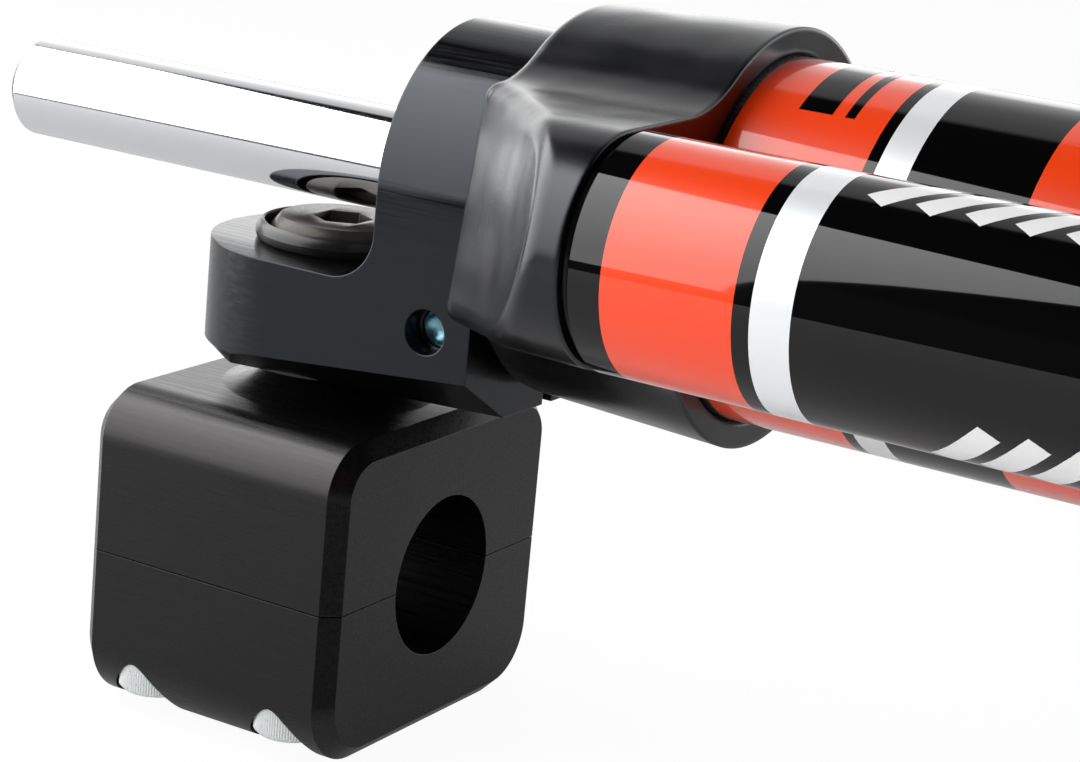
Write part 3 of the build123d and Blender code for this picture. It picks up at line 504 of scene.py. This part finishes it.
class DAMPER_OT_finishes(bpy.types.Operator):
    """Make the finishes and give them to the frame's nodes"""

    bl_idname = "damper.finishes"
    bl_label = "Finishes"

    def execute(self, context):
        colours = context.scene.damper_finishes
        FINISHES["anodised"] = anodised_aluminium(
            "machined_black_anodised_aluminium", colours.anodised_black,
            smoothest=0.1, roughest=0.26, relief=0.8, edge=0.3 * MM, tint="#EAF1FC",
        )
        # The clamp was tumbled before its anodising, so it mirrors less sharply than the arm
        FINISHES["satin_anodised"] = anodised_aluminium(
            "tumbled_black_anodised_aluminium", colours.anodised_black,
            smoothest=0.24, roughest=0.34, relief=0.3, edge=0.12 * MM, tint="#FAF5F7",
        )
        FINISHES["casting"] = bead_blasted_black_casting(colours.cast_black)
        FINISHES["chrome"] = ground_hard_chrome()
        FINISHES["orange"] = gloss_print("orange_printed_film", colours.orange, ink_shine=0.35)
        # Metal flakes in the ink and a thinner coat make the silver softer than the black
        FINISHES["silver"] = gloss_print(
            "silver_printed_film", colours.silver,
            metallic=0.35, roughness=0.32, coat=0.8, ink_shine=0.4,
        )
        FINISHES["gloss"] = gloss_print("gloss_black_printed_film", colours.gloss_black)
        FINISHES["white"] = gloss_print(
            "white_printed_film", linear("#DADADA"), roughness=0.4, coat=0.8
        )
        FINISHES["tube"] = plated_metal(
            "drawn_aluminium_tube", linear("#A9ABAD"), roughness=0.3, grain=0.5 * MM
        )
        # Bright zinc is milky rather than mirror-like
        FINISHES["zinc"] = plated_metal(
            "bright_zinc_plated_steel", linear("#E6EAEA"), roughness=0.34, grain=0.4 * MM,
            relief=0.04, metallic=0.6,
        )
        # Phosphate is a dark, warm and visibly grainy skin
        FINISHES["phosphate"] = plated_metal(
            "phosphated_turned_steel", linear("#2E2A25"), roughness=0.34, grain=0.3 * MM,
            relief=0.6, metallic=0.4,
        )
        FINISHES["blue_zinc"] = plated_metal(
            "blue_zinc_plated_steel", linear("#8CC0D2"), roughness=0.3, grain=0.2 * MM, relief=0.05
        )
        FINISHES["bearing"] = plated_metal(
            "ground_bearing_steel", linear("#B4B5B6"), roughness=0.16, grain=0.3 * MM
        )
        # Dark steel for the shaft's end bevel: a painted dark reflection in place of the chrome's
        # mirror
        FINISHES["dark_steel"] = plated_metal(
            "steel_with_painted_dark_reflection", linear("#26262A"), roughness=0.3, grain=0.3 * MM
        )
        FINISHES["bronze"] = plated_metal(
            "sintered_bronze_strip", linear("#A57D48"), roughness=0.4, grain=0.2 * MM
        )
        FINISHES["blue"] = plated_metal(
            "blue_anodised_aluminium", linear("#1B4C9C"), roughness=0.3, grain=0.3 * MM
        )
        FINISHES["rubber"] = soft_part(
            "moulded_nitrile_rubber", linear("#111112"), roughness=0.3, grain=0.5 * MM
        )
        FINISHES["plastic"] = soft_part(
            "moulded_black_plastic", linear("#1B1B1C"), roughness=0.45, grain=0.4 * MM
        )
        for finish, nodes in NODE_FINISHES.items():
            for node in nodes:
                give(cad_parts[node], FINISHES[finish])
        return {"FINISHED"}


class DAMPER_OT_shaft(bpy.types.Operator):
    """Turn the chromed shaft with its bevelled end and stud"""

    bl_idname = "damper.shaft"
    bl_label = "Shaft"

    def execute(self, context):
        sizes = context.scene.damper_sizes
        radius = (SHAFT.high.z - SHAFT.low.z) / 2
        bevel = sizes.shaft_bevel
        shoulder = sizes.shaft_shoulder
        chamfer = 1.0 * MM
        profile = [
            (SHAFT.low.x, radius - bevel),
            (SHAFT.low.x + bevel, radius),
            (shoulder - chamfer, radius),
            (shoulder, radius - chamfer),
            (shoulder, sizes.stud_radius),
            (SHAFT.high.x - chamfer, sizes.stud_radius),
            (SHAFT.high.x, sizes.stud_radius - chamfer),
        ]
        shaft = turned("chromed_shaft", ("X", SHAFT.middle), profile, sides=160)
        round_edges(shaft, 0.15 * MM)
        smooth(shaft)
        give(shaft, FINISHES["chrome"], FINISHES["dark_steel"])
        # The bevel at the free end gets a dark steel finish: a painted dark reflection where the
        # chrome would mirror its dark surroundings. Its faces are told by their place from the flat
        # end, and by their slope from the round side
        for face in shaft.data.polygons:
            at_end = SHAFT.low.x < face.center.x < SHAFT.low.x + bevel
            face.material_index = int(at_end and abs(face.normal.x) > 0.2)
        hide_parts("shaft")
        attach(shaft, "shaft")
        return {"FINISHED"}


# Places of the finishes in a banded tube's material slots
BLACK, ORANGE, SILVER, BARE = range(4)


def banded_tube(name, box, wall, bands, sides):
    """A tube with rings at the band edges; bands holds (start, finish place) in order along X."""
    low, high = box.low, box.high
    outer = (high.z - low.z) / 2
    edge = 0.2 * MM
    profile = [(low.x, outer - edge), (low.x + edge, outer)]
    profile += [(start, outer) for start, finish in bands[1:]]
    profile += [(high.x - edge, outer), (high.x, outer - edge)]
    profile += [(high.x, outer - wall), (low.x, outer - wall), profile[0]]
    tube = turned(name, ("X", box.middle), profile, sides, hollow=True)
    give(tube, FINISHES["gloss"], FINISHES["orange"], FINISHES["silver"], FINISHES["tube"])
    for face in tube.data.polygons:
        inside = [finish for start, finish in bands if face.center.x >= start - HAIR]
        face.material_index = inside[-1] if inside else bands[0][1]
    smooth(tube)
    return tube


class DAMPER_OT_tubes(bpy.types.Operator):
    """Make both tubes with their orange, black and silver bands"""

    bl_idname = "damper.tubes"
    bl_label = "Tubes"

    def execute(self, context):
        sizes = context.scene.damper_sizes
        mouth = FRONT_CAP.high.x - sizes.spigot
        main = banded_tube("banded_main_tube", MAIN_TUBE, sizes.main_wall, [
            (MAIN_TUBE.low.x, BARE),
            (mouth + sizes.film_gap, ORANGE),
            (sizes.main_orange_end, BLACK),
            (sizes.main_silver_start, SILVER),
            (sizes.main_silver_end, BLACK),
            (sizes.main_second_start, ORANGE),
            (sizes.main_second_end, BLACK),
        ], sides=224)
        reservoir = banded_tube("banded_reservoir_tube", RESERVOIR_TUBE, sizes.reservoir_wall, [
            (RESERVOIR_TUBE.low.x, BLACK),
            (sizes.reservoir_orange_start, ORANGE),
            (sizes.reservoir_orange_end, BLACK),
            (sizes.reservoir_silver_start, SILVER),
            (sizes.reservoir_silver_end, BLACK),
        ], sides=192)
        for tube, node, slot in (
            (main, "main_tube", "main_tube_skin"),
            (reservoir, "reservoir_tube", "reservoir_skin"),
        ):
            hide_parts(node)
            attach(tube, "housing")
        return {"FINISHED"}


def film_stripe(name, tube, middle, x, angle, width, run, slant):
    """A thin stripe of film laid on a tube at an angle from its top, towards -Y."""
    start_fresh()
    # The sheet starts a little above the tube and shrinks onto it
    above = 1 * MM
    radius = max(v.co.z for v in tube.data.vertices) - middle.z + above
    place = (x, middle.y - math.sin(angle) * radius, middle.z + math.cos(angle) * radius)
    bpy.ops.mesh.primitive_grid_add(x_subdivisions=6, y_subdivisions=30, size=1, location=place)
    stripe = bpy.context.object
    stripe.scale = (width, run, 1)
    turn = Matrix.Rotation(angle, 3, "X") @ Matrix.Rotation(slant, 3, "Z")
    stripe.rotation_euler = turn.to_euler()
    settle(stripe, name)
    # The film's face is 0.03 mm off the tube and its back lies inside the tube, so no gap shows
    apply_modifier(
        stripe, "SHRINKWRAP", target=tube, wrap_method="NEAREST_SURFACEPOINT", offset=0.03 * MM
    )
    apply_modifier(stripe, "SOLIDIFY", thickness=0.05 * MM, offset=-1)
    smooth(stripe, 40)
    return stripe


class DAMPER_OT_stripes(bpy.types.Operator):
    """Lay the plain slanted stripes and bars on both tubes"""

    bl_idname = "damper.stripes"
    bl_label = "Stripes"

    def execute(self, context):
        sizes = context.scene.damper_sizes
        reservoir = bpy.data.objects["banded_reservoir_tube"]
        main = bpy.data.objects["banded_main_tube"]
        # Each row's name, start along X, angle from the tube's top and number of stripes
        rows = (
            ("upper", sizes.upper_marks_start, math.radians(8), 7),
            ("lower", sizes.lower_marks_start, math.radians(140), 5),
        )
        slant = math.radians(-38)
        for row, start, angle, count in rows:
            for number in range(count):
                stripe = film_stripe(
                    f"{row}_stripe_{number + 1}", reservoir, RESERVOIR_TUBE.middle,
                    start + number * sizes.mark_pitch, angle,
                    sizes.mark_stroke, sizes.mark_length, slant,
                )
                give(stripe, FINISHES["white"])
                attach(stripe, "housing")
        # Each bar's place along X and its width
        bars = ((82.5 * MM, 5.0 * MM), (87.6 * MM, 1.4 * MM))
        bar_angle = math.radians(12)
        bar_length = 22 * MM
        for number, (x, width) in enumerate(bars, start=1):
            bar = film_stripe(
                f"orange_band_bar_{number}", main, MAIN_TUBE.middle,
                x, bar_angle, width, bar_length, slant=0,
            )
            give(bar, FINISHES["gloss"])
            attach(bar, "housing")
        return {"FINISHED"}


class DAMPER_OT_clamp_screws(bpy.types.Operator):
    """Model one knurled socket screw and copy it to its four places"""

    bl_idname = "damper.clamp_screws"
    bl_label = "Clamp screws"

    def execute(self, context):
        sizes = context.scene.damper_sizes
        low, high = CLAMP_SCREWS.low, CLAMP_SCREWS.high
        radius = sizes.screw_head_radius
        bottom = low.z + sizes.screw_head_recess
        seat = bottom + sizes.screw_head_height
        from_corner = 5.75 * MM
        places = [
            (x, y) for x in (low.x + from_corner, high.x - from_corner)
            for y in (low.y + from_corner, high.y - from_corner)
        ]
        first = Vector((*places[0], 0))
        edge = 0.6 * MM
        seat_edge = 0.3 * MM
        shank = sizes.screw_shank_radius
        profile = [
            (bottom, radius - edge), (bottom + edge, radius),
            (seat - seat_edge, radius), (seat, radius - seat_edge), (seat, shank),
            (high.z - edge, shank), (high.z, shank - edge),
        ]
        # Every other long edge of the head goes in, which gives straight ridges 0.44 mm apart
        ridges = 80
        screw = turned("knurled_clamp_screw_1", ("Z", first), profile, sides=2 * ridges)
        pick(screw)
        bpy.ops.object.mode_set(mode="EDIT")
        bpy.ops.mesh.select_mode(type="VERT")
        bpy.ops.mesh.select_all(action="DESELECT")
        bpy.ops.object.mode_set(mode="OBJECT")
        # Points this near the head's full radius belong to its side
        within = 0.01 * MM
        for vertex in screw.data.vertices:
            away = Vector((vertex.co.x - first.x, vertex.co.y - first.y))
            step = round(math.atan2(away.y, away.x) / math.pi * ridges)
            on_head = away.length > radius - within and vertex.co.z < seat
            vertex.select = on_head and step % 2 == 1
        bpy.ops.object.mode_set(mode="EDIT")
        shrink = 1 - sizes.knurl_depth / radius
        bpy.ops.transform.resize(
            value=(shrink, shrink, 1), center_override=(first.x, first.y, bottom)
        )
        bpy.ops.object.mode_set(mode="OBJECT")
        cut(screw, hexagon_cutter(
            ("Z", first), bottom - OVERRUN, bottom + sizes.screw_head_height / 2, sizes.screw_socket
        ))
        smooth(screw, 20)
        give(screw, FINISHES["zinc"])
        screws = [screw]
        for number, (x, y) in enumerate(places[1:], start=2):
            pick(screw)
            bpy.ops.object.duplicate()
            copy = bpy.context.object
            copy.location = (x - first.x, y - first.y, 0)
            settle(copy, f"knurled_clamp_screw_{number}")
            screws.append(copy)
        for piece in screws:
            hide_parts("clamp_screws")
            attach(piece, "clamp")
        return {"FINISHED"}


class DAMPER_OT_pivot(bpy.types.Operator):
    """Turn the pivot screw with its hexagon socket, and the moulded ring round it"""

    bl_idname = "damper.pivot"
    bl_label = "Pivot screw and ring"

    def execute(self, context):
        sizes = context.scene.damper_sizes
        self.turn_screw(sizes)
        self.mould_ring(sizes)
        return {"FINISHED"}

    def turn_screw(self, sizes):
        """Shank, neck, collar and the bevelled head with its flat."""
        top = PIVOT_SCREW.high.z
        bottom = PIVOT_SCREW.low.z
        shank, neck, collar = 5.0 * MM, 6.0 * MM, 7.4 * MM
        lead = 1.0 * MM
        shank_end = bottom + 16.0 * MM
        neck_end, collar_foot = top - 6.3 * MM, top - 6.25 * MM
        head_foot, rim, rim_top = top - 3.2 * MM, top - 1.9 * MM, top - 1.75 * MM
        head = sizes.pivot_head_radius
        flat = sizes.pivot_flat_radius
        axis = ("Z", Vector((0, 0, 0)))
        screw = turned("socket_pivot_screw", axis, [
            (bottom, shank - lead), (bottom + lead, shank), (shank_end, shank),
            (shank_end, neck), (neck_end, neck), (collar_foot, collar), (head_foot, collar),
            # The head is bevelled below and above its rim, and the flat has a softened edge
            (head_foot, head - 0.8 * MM), (rim, head), (rim_top, head - 0.02 * MM),
            (top - 0.12 * MM, flat + 0.1 * MM), (top, flat - 0.15 * MM),
        ], sides=128)
        cut(screw, hexagon_cutter(
            axis, top - sizes.pivot_socket_depth, top + OVERRUN, sizes.pivot_socket
        ))
        round_edges(screw, 0.12 * MM, angle=35)
        smooth(screw, 35)
        give(screw, FINISHES["phosphate"])
        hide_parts("pivot_screw")
        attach(screw, "clamp")

    def mould_ring(self, sizes):
        """Plug in the arm, then a bulge with the mould's parting groove and a sloping top."""
        inner = sizes.ring_inner_radius
        outer = SEAL_RING.high.x
        plug = outer - 0.54 * MM
        bottom = SEAL_RING.low.z
        foot = bottom + sizes.ring_plug
        crown = SEAL_RING.high.z
        tall = crown - foot
        seam = foot + tall * 0.42
        half_groove, groove_depth = 0.06 * MM, 0.09 * MM
        lip = 0.45 * MM
        # Shares of the height, with how far the bulge lies in from its widest place
        below = ((0.12, 0.2 * MM), (0.28, 0.03 * MM))
        above = ((0.62, 0.1 * MM), (0.8, 0.35 * MM), (0.93, 0.7 * MM), (1.0, 1.02 * MM))
        profile = [(bottom, inner), (bottom, plug), (foot, plug)]
        profile += [(foot + tall * share, outer - inwards) for share, inwards in below]
        profile += [
            (seam, outer), (seam + half_groove, outer - groove_depth),
            (seam + 2 * half_groove, outer),
        ]
        profile += [(foot + tall * share, outer - inwards) for share, inwards in above]
        profile += [(crown - 0.12 * MM, inner + 0.06 * MM), (crown - lip, inner), profile[0]]
        ring = turned(
            "moulded_seal_ring", ("Z", Vector((0, 0, 0))), profile, sides=128, hollow=True
        )
        smooth(ring, 35)
        give(ring, FINISHES["rubber"])
        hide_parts("seal_ring_upper")
        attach(ring, "housing")


class DAMPER_OT_pinch_screw(bpy.types.Operator):
    """Turn the pinch screw with its cupped end and its socket head"""

    bl_idname = "damper.pinch_screw"
    bl_label = "Pinch screw"

    def execute(self, context):
        sizes = context.scene.damper_sizes
        end, top = PINCH_SCREW.low.y, PINCH_SCREW.high.y
        seat = top - sizes.pinch_head_height
        head = (PINCH_SCREW.high.x - PINCH_SCREW.low.x) / 2
        radius, cup = sizes.pinch_radius, sizes.pinch_cup
        lead, seat_edge, edge = 0.35 * MM, 0.2 * MM, 0.5 * MM
        # Shares of the cup's depth and of the screw's radius, from the cup's floor to its rim
        hollow = ((0.93, 0.35), (0.7, 0.6), (0.25, 0.78), (0.0, 0.83), (0.0, 0.88))
        profile = [(end + cup, 0.3 * MM)]
        profile += [(end + cup * deep, radius * wide) for deep, wide in hollow]
        profile += [
            (end + lead, radius), (seat, radius),
            (seat, head - seat_edge), (seat + seat_edge, head),
            (top - edge, head), (top, head - edge),
        ]
        axis = ("Y", PINCH_SCREW.middle)
        screw = turned("cupped_pinch_screw", axis, profile, sides=96)
        cut(screw, hexagon_cutter(
            axis, top - sizes.pinch_head_height / 2, top + OVERRUN, sizes.pinch_socket
        ))
        smooth(screw, 35)
        give(screw, FINISHES["blue_zinc"])
        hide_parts("pinch_screw")
        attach(screw, "housing")
        return {"FINISHED"}


class DAMPER_OT_stage(bpy.types.Operator):
    """Put up the floor, the lights, the world and the camera"""

    bl_idname = "damper.stage"
    bl_label = "Stage"

    def execute(self, context):
        stage = context.scene.damper_stage
        self.lay_floor(stage)
        self.lay_painted_shade_sheet()
        self.build_room(context.scene, stage)
        self.hang_lamps(stage)
        self.set_camera(context.scene, stage)
        context.scene.view_settings.view_transform = "Standard"
        return {"FINISHED"}

    def lay_floor(self, stage):
        """White paper on a table that ends before the large light.

        Reflections show the table's edge as a thin dark line."""
        start_fresh()
        towards_light = math.radians(-153)
        # Half the table's side
        reach = 3.0
        away = stage.table_edge - reach
        middle = (away * math.cos(towards_light), away * math.sin(towards_light), CAD_BOX[0][2])
        bpy.ops.mesh.primitive_plane_add(
            size=2 * reach, rotation=(0, 0, towards_light), location=middle
        )
        floor = bpy.context.object
        settle(floor, "studio_floor")
        finish, tree, shader = begin(
            "white_paper_floor", linear("#F4F4F4"), metallic=0.0, roughness=0.6
        )
        path = add(tree, "ShaderNodeLightPath")
        # The camera sees nearly white paper, reflections a mix that keeps the damper's shadow
        camera_share, mirror_share = 0.95, 0.2
        mirrored = add(tree, "ShaderNodeMath", {
            0: path.outputs["Is Glossy Ray"], 1: path.outputs["Is Transmission Ray"],
        }, operation="MAXIMUM")
        share = add(tree, "ShaderNodeMapRange", {
            "Value": path.outputs["Is Camera Ray"], "To Max": camera_share,
        })
        paler = add(tree, "ShaderNodeMath", {
            0: mirrored.outputs[0], 1: mirror_share, 2: share.outputs[0],
        }, operation="MULTIPLY_ADD")
        glow = add(tree, "ShaderNodeEmission", {"Color": (1, 1, 1, 1), "Strength": 1.0})
        greyer = add(tree, "ShaderNodeBsdfDiffuse", {"Color": linear("#A6A6A6")})
        paper = add(tree, "ShaderNodeMixShader", {
            0: mirrored.outputs[0], 1: shader.outputs[0], 2: greyer.outputs[0],
        })
        mixed = add(tree, "ShaderNodeMixShader", {
            0: paler.outputs[0], 1: paper.outputs[0], 2: glow.outputs[0],
        })
        tree.links.new(mixed.outputs[0], tree.nodes["Material Output"].inputs["Surface"])
        give(floor, finish)

    def lay_painted_shade_sheet(self):
        """A black sheet on the table in front, painted shade that keeps the clamp's chamfer dark.

        It is dark only from low down and seen only in reflections."""
        above_floor = 0.5 * MM
        bpy.ops.mesh.primitive_plane_add(
            size=1, rotation=(0, 0, math.radians(-34)),
            location=(0.119, -0.085, CAD_BOX[0][2] + above_floor),
        )
        shade_sheet = bpy.context.object
        shade_sheet.scale = (0.19, 0.06, 1)
        settle(shade_sheet, "painted_shade_sheet")
        # The sheet's black is painted shade for reflections only: the camera, diffuse light and
        # shadows do not see it
        finish, tree, shader = begin("painted_shade_sheet_finish", linear("#050505"), metallic=0.0, roughness=0.9)
        facing = add(tree, "ShaderNodeLayerWeight", {"Blend": 0.5})
        grazing_share = add(tree, "ShaderNodeMapRange", {
            "Value": facing.outputs["Facing"], "From Min": 0.5, "From Max": 0.65,
        })
        tree.links.new(grazing_share.outputs["Result"], shader.inputs["Alpha"])
        give(shade_sheet, finish)
        shade_sheet.visible_camera = shade_sheet.visible_diffuse = shade_sheet.visible_shadow = False

    def build_room(self, scene, stage):
        """A white wall behind the damper in a dark room; the camera itself sees only white."""
        world = bpy.data.worlds.new("white_studio")
        world.use_nodes = True
        scene.world = world
        tree = world.node_tree
        tree.nodes.clear()
        path = add(tree, "ShaderNodeLightPath")
        place = add(tree, "ShaderNodeTexCoord")
        axes = add(tree, "ShaderNodeSeparateXYZ", {"Vector": place.outputs["Generated"]})
        behind = add(tree, "ShaderNodeMapRange", {
            "Value": axes.outputs["Y"], "From Min": 0.36, "From Max": 0.44,
            "To Min": 0.04, "To Max": stage.wall_light,
        }, interpolation_type="SMOOTHSTEP")
        # The wall fades upward and ends 62 degrees up: sines of the angle up, with the wall's share
        fade = ((0.27, 1.0), (0.36, 0.48), (0.62, 0.26), (0.87, 0.24), (0.9, 0.04))
        height = add(tree, "ShaderNodeValToRGB", {"Fac": axes.outputs["Z"]})
        stops = height.color_ramp.elements
        stops[0].position, stops[1].position = fade[0][0], fade[-1][0]
        for sine, share in fade[1:-1]:
            stops.new(sine)
        for stop, (sine, share) in zip(stops, fade):
            stop.color = (share, share, share, 1)
        room = add(tree, "ShaderNodeMath", {
            0: behind.outputs[0], 1: height.outputs["Color"],
        }, operation="MULTIPLY")
        shown = add(tree, "ShaderNodeMapRange", {
            "Value": path.outputs["Is Camera Ray"], "To Min": room.outputs[0], "To Max": 1.0,
        })
        sky = add(tree, "ShaderNodeBackground", {
            "Color": (1, 1, 1, 1), "Strength": shown.outputs[0],
        })
        add(tree, "ShaderNodeOutputWorld", {"Surface": sky.outputs[0]})

    def hang_lamps(self, stage):
        """The large softbox on the left and a weaker fill in front."""
        softbox = self.lamp(
            "left_softbox", place=(-0.4285, -0.2326, 0.306), target=(0.024, 0.043, 0.046),
            width=0.92, height=0.86, power=stage.key_power, roll=15,
        )
        # Its cloth glows most above the middle: shares of the cloth's width and height
        brightest = (0.35, 0.8, 0)
        softbox.data.use_nodes = True
        tree = softbox.data.node_tree
        spot = add(tree, "ShaderNodeNewGeometry")
        off = add(tree, "ShaderNodeVectorMath", {
            0: spot.outputs["Parametric"], 1: brightest,
        }, operation="DISTANCE")
        shine = add(tree, "ShaderNodeMapRange", {
            "Value": off.outputs["Value"], "From Max": 0.8, "To Min": 1.7, "To Max": 0.8,
        })
        tree.links.new(shine.outputs["Result"], tree.nodes["Emission"].inputs["Strength"])
        fill = self.lamp(
            "front_fill", place=(0.1, -0.9, 0.35), target=(0.05, 0, 0.04),
            width=0.5, height=0.5, power=stage.key_power * 0.4,
        )
        fill.visible_glossy = False

    def lamp(self, name, place, target, width, height, power, roll=0):
        """Rectangular soft light that faces a point and is rolled by so many degrees."""
        light = bpy.data.lights.new(name, "AREA")
        light.shape = "RECTANGLE"
        light.size = width
        light.size_y = height
        light.energy = power
        lamp = bpy.data.objects.new(name, light)
        lamp.location = place
        aim = (Vector(target) - Vector(place)).to_track_quat("-Z", "Y").to_matrix()
        lamp.rotation_euler = (aim @ Matrix.Rotation(math.radians(roll), 3, "Z")).to_euler()
        bpy.context.scene.collection.objects.link(lamp)
        return lamp

    def set_camera(self, scene, stage):
        """The camera at the photograph's place and angle."""
        lens = bpy.data.cameras.new("photograph_view")
        lens.sensor_fit = "HORIZONTAL"
        lens.sensor_width = 36.0
        lens.lens = stage.lens
        lens.clip_start = 0.01
        camera = bpy.data.objects.new("photograph_view", lens)
        scene.collection.objects.link(camera)
        turn = Euler(stage.camera_turn, "XYZ").to_matrix().to_4x4()
        camera.matrix_world = Matrix.Translation(Vector(stage.camera_place)) @ turn
        scene.camera = camera


MAKERS = (
    DAMPER_OT_finishes,
    DAMPER_OT_shaft,
    DAMPER_OT_tubes,
    DAMPER_OT_stripes,
    DAMPER_OT_clamp_screws,
    DAMPER_OT_pivot,
    DAMPER_OT_pinch_screw,
    DAMPER_OT_stage,
)


class DAMPER_PT_sidebar(bpy.types.Panel):
    """Steering damper pieces, sizes and finishes"""

    bl_label = "Steering damper"
    bl_idname = "DAMPER_PT_sidebar"
    bl_space_type = "VIEW_3D"
    bl_region_type = "UI"
    bl_category = "Damper"

    def draw(self, context):
        for maker in MAKERS:
            self.layout.operator(maker.bl_idname)
        scene = context.scene
        for group in (scene.damper_sizes, scene.damper_finishes, scene.damper_stage):
            column = self.layout.column()
            for key in group.__annotations__:
                column.prop(group, key)


CLASSES = (DamperSizes, DamperFinishes, DamperStage, *MAKERS, DAMPER_PT_sidebar)


def register():
    for each in CLASSES:
        bpy.utils.register_class(each)
    bpy.types.Scene.damper_sizes = bpy.props.PointerProperty(type=DamperSizes)
    bpy.types.Scene.damper_finishes = bpy.props.PointerProperty(type=DamperFinishes)
    bpy.types.Scene.damper_stage = bpy.props.PointerProperty(type=DamperStage)


def unregister():
    del bpy.types.Scene.damper_sizes
    del bpy.types.Scene.damper_finishes
    del bpy.types.Scene.damper_stage
    for each in reversed(CLASSES):
        bpy.utils.unregister_class(each)


def main():
    """Register and make everything in order."""
    register()
    for maker in MAKERS:
        group, name = maker.bl_idname.split(".")
        getattr(getattr(bpy.ops, group), name)()
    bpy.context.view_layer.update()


if __name__ == "__main__":
    main()
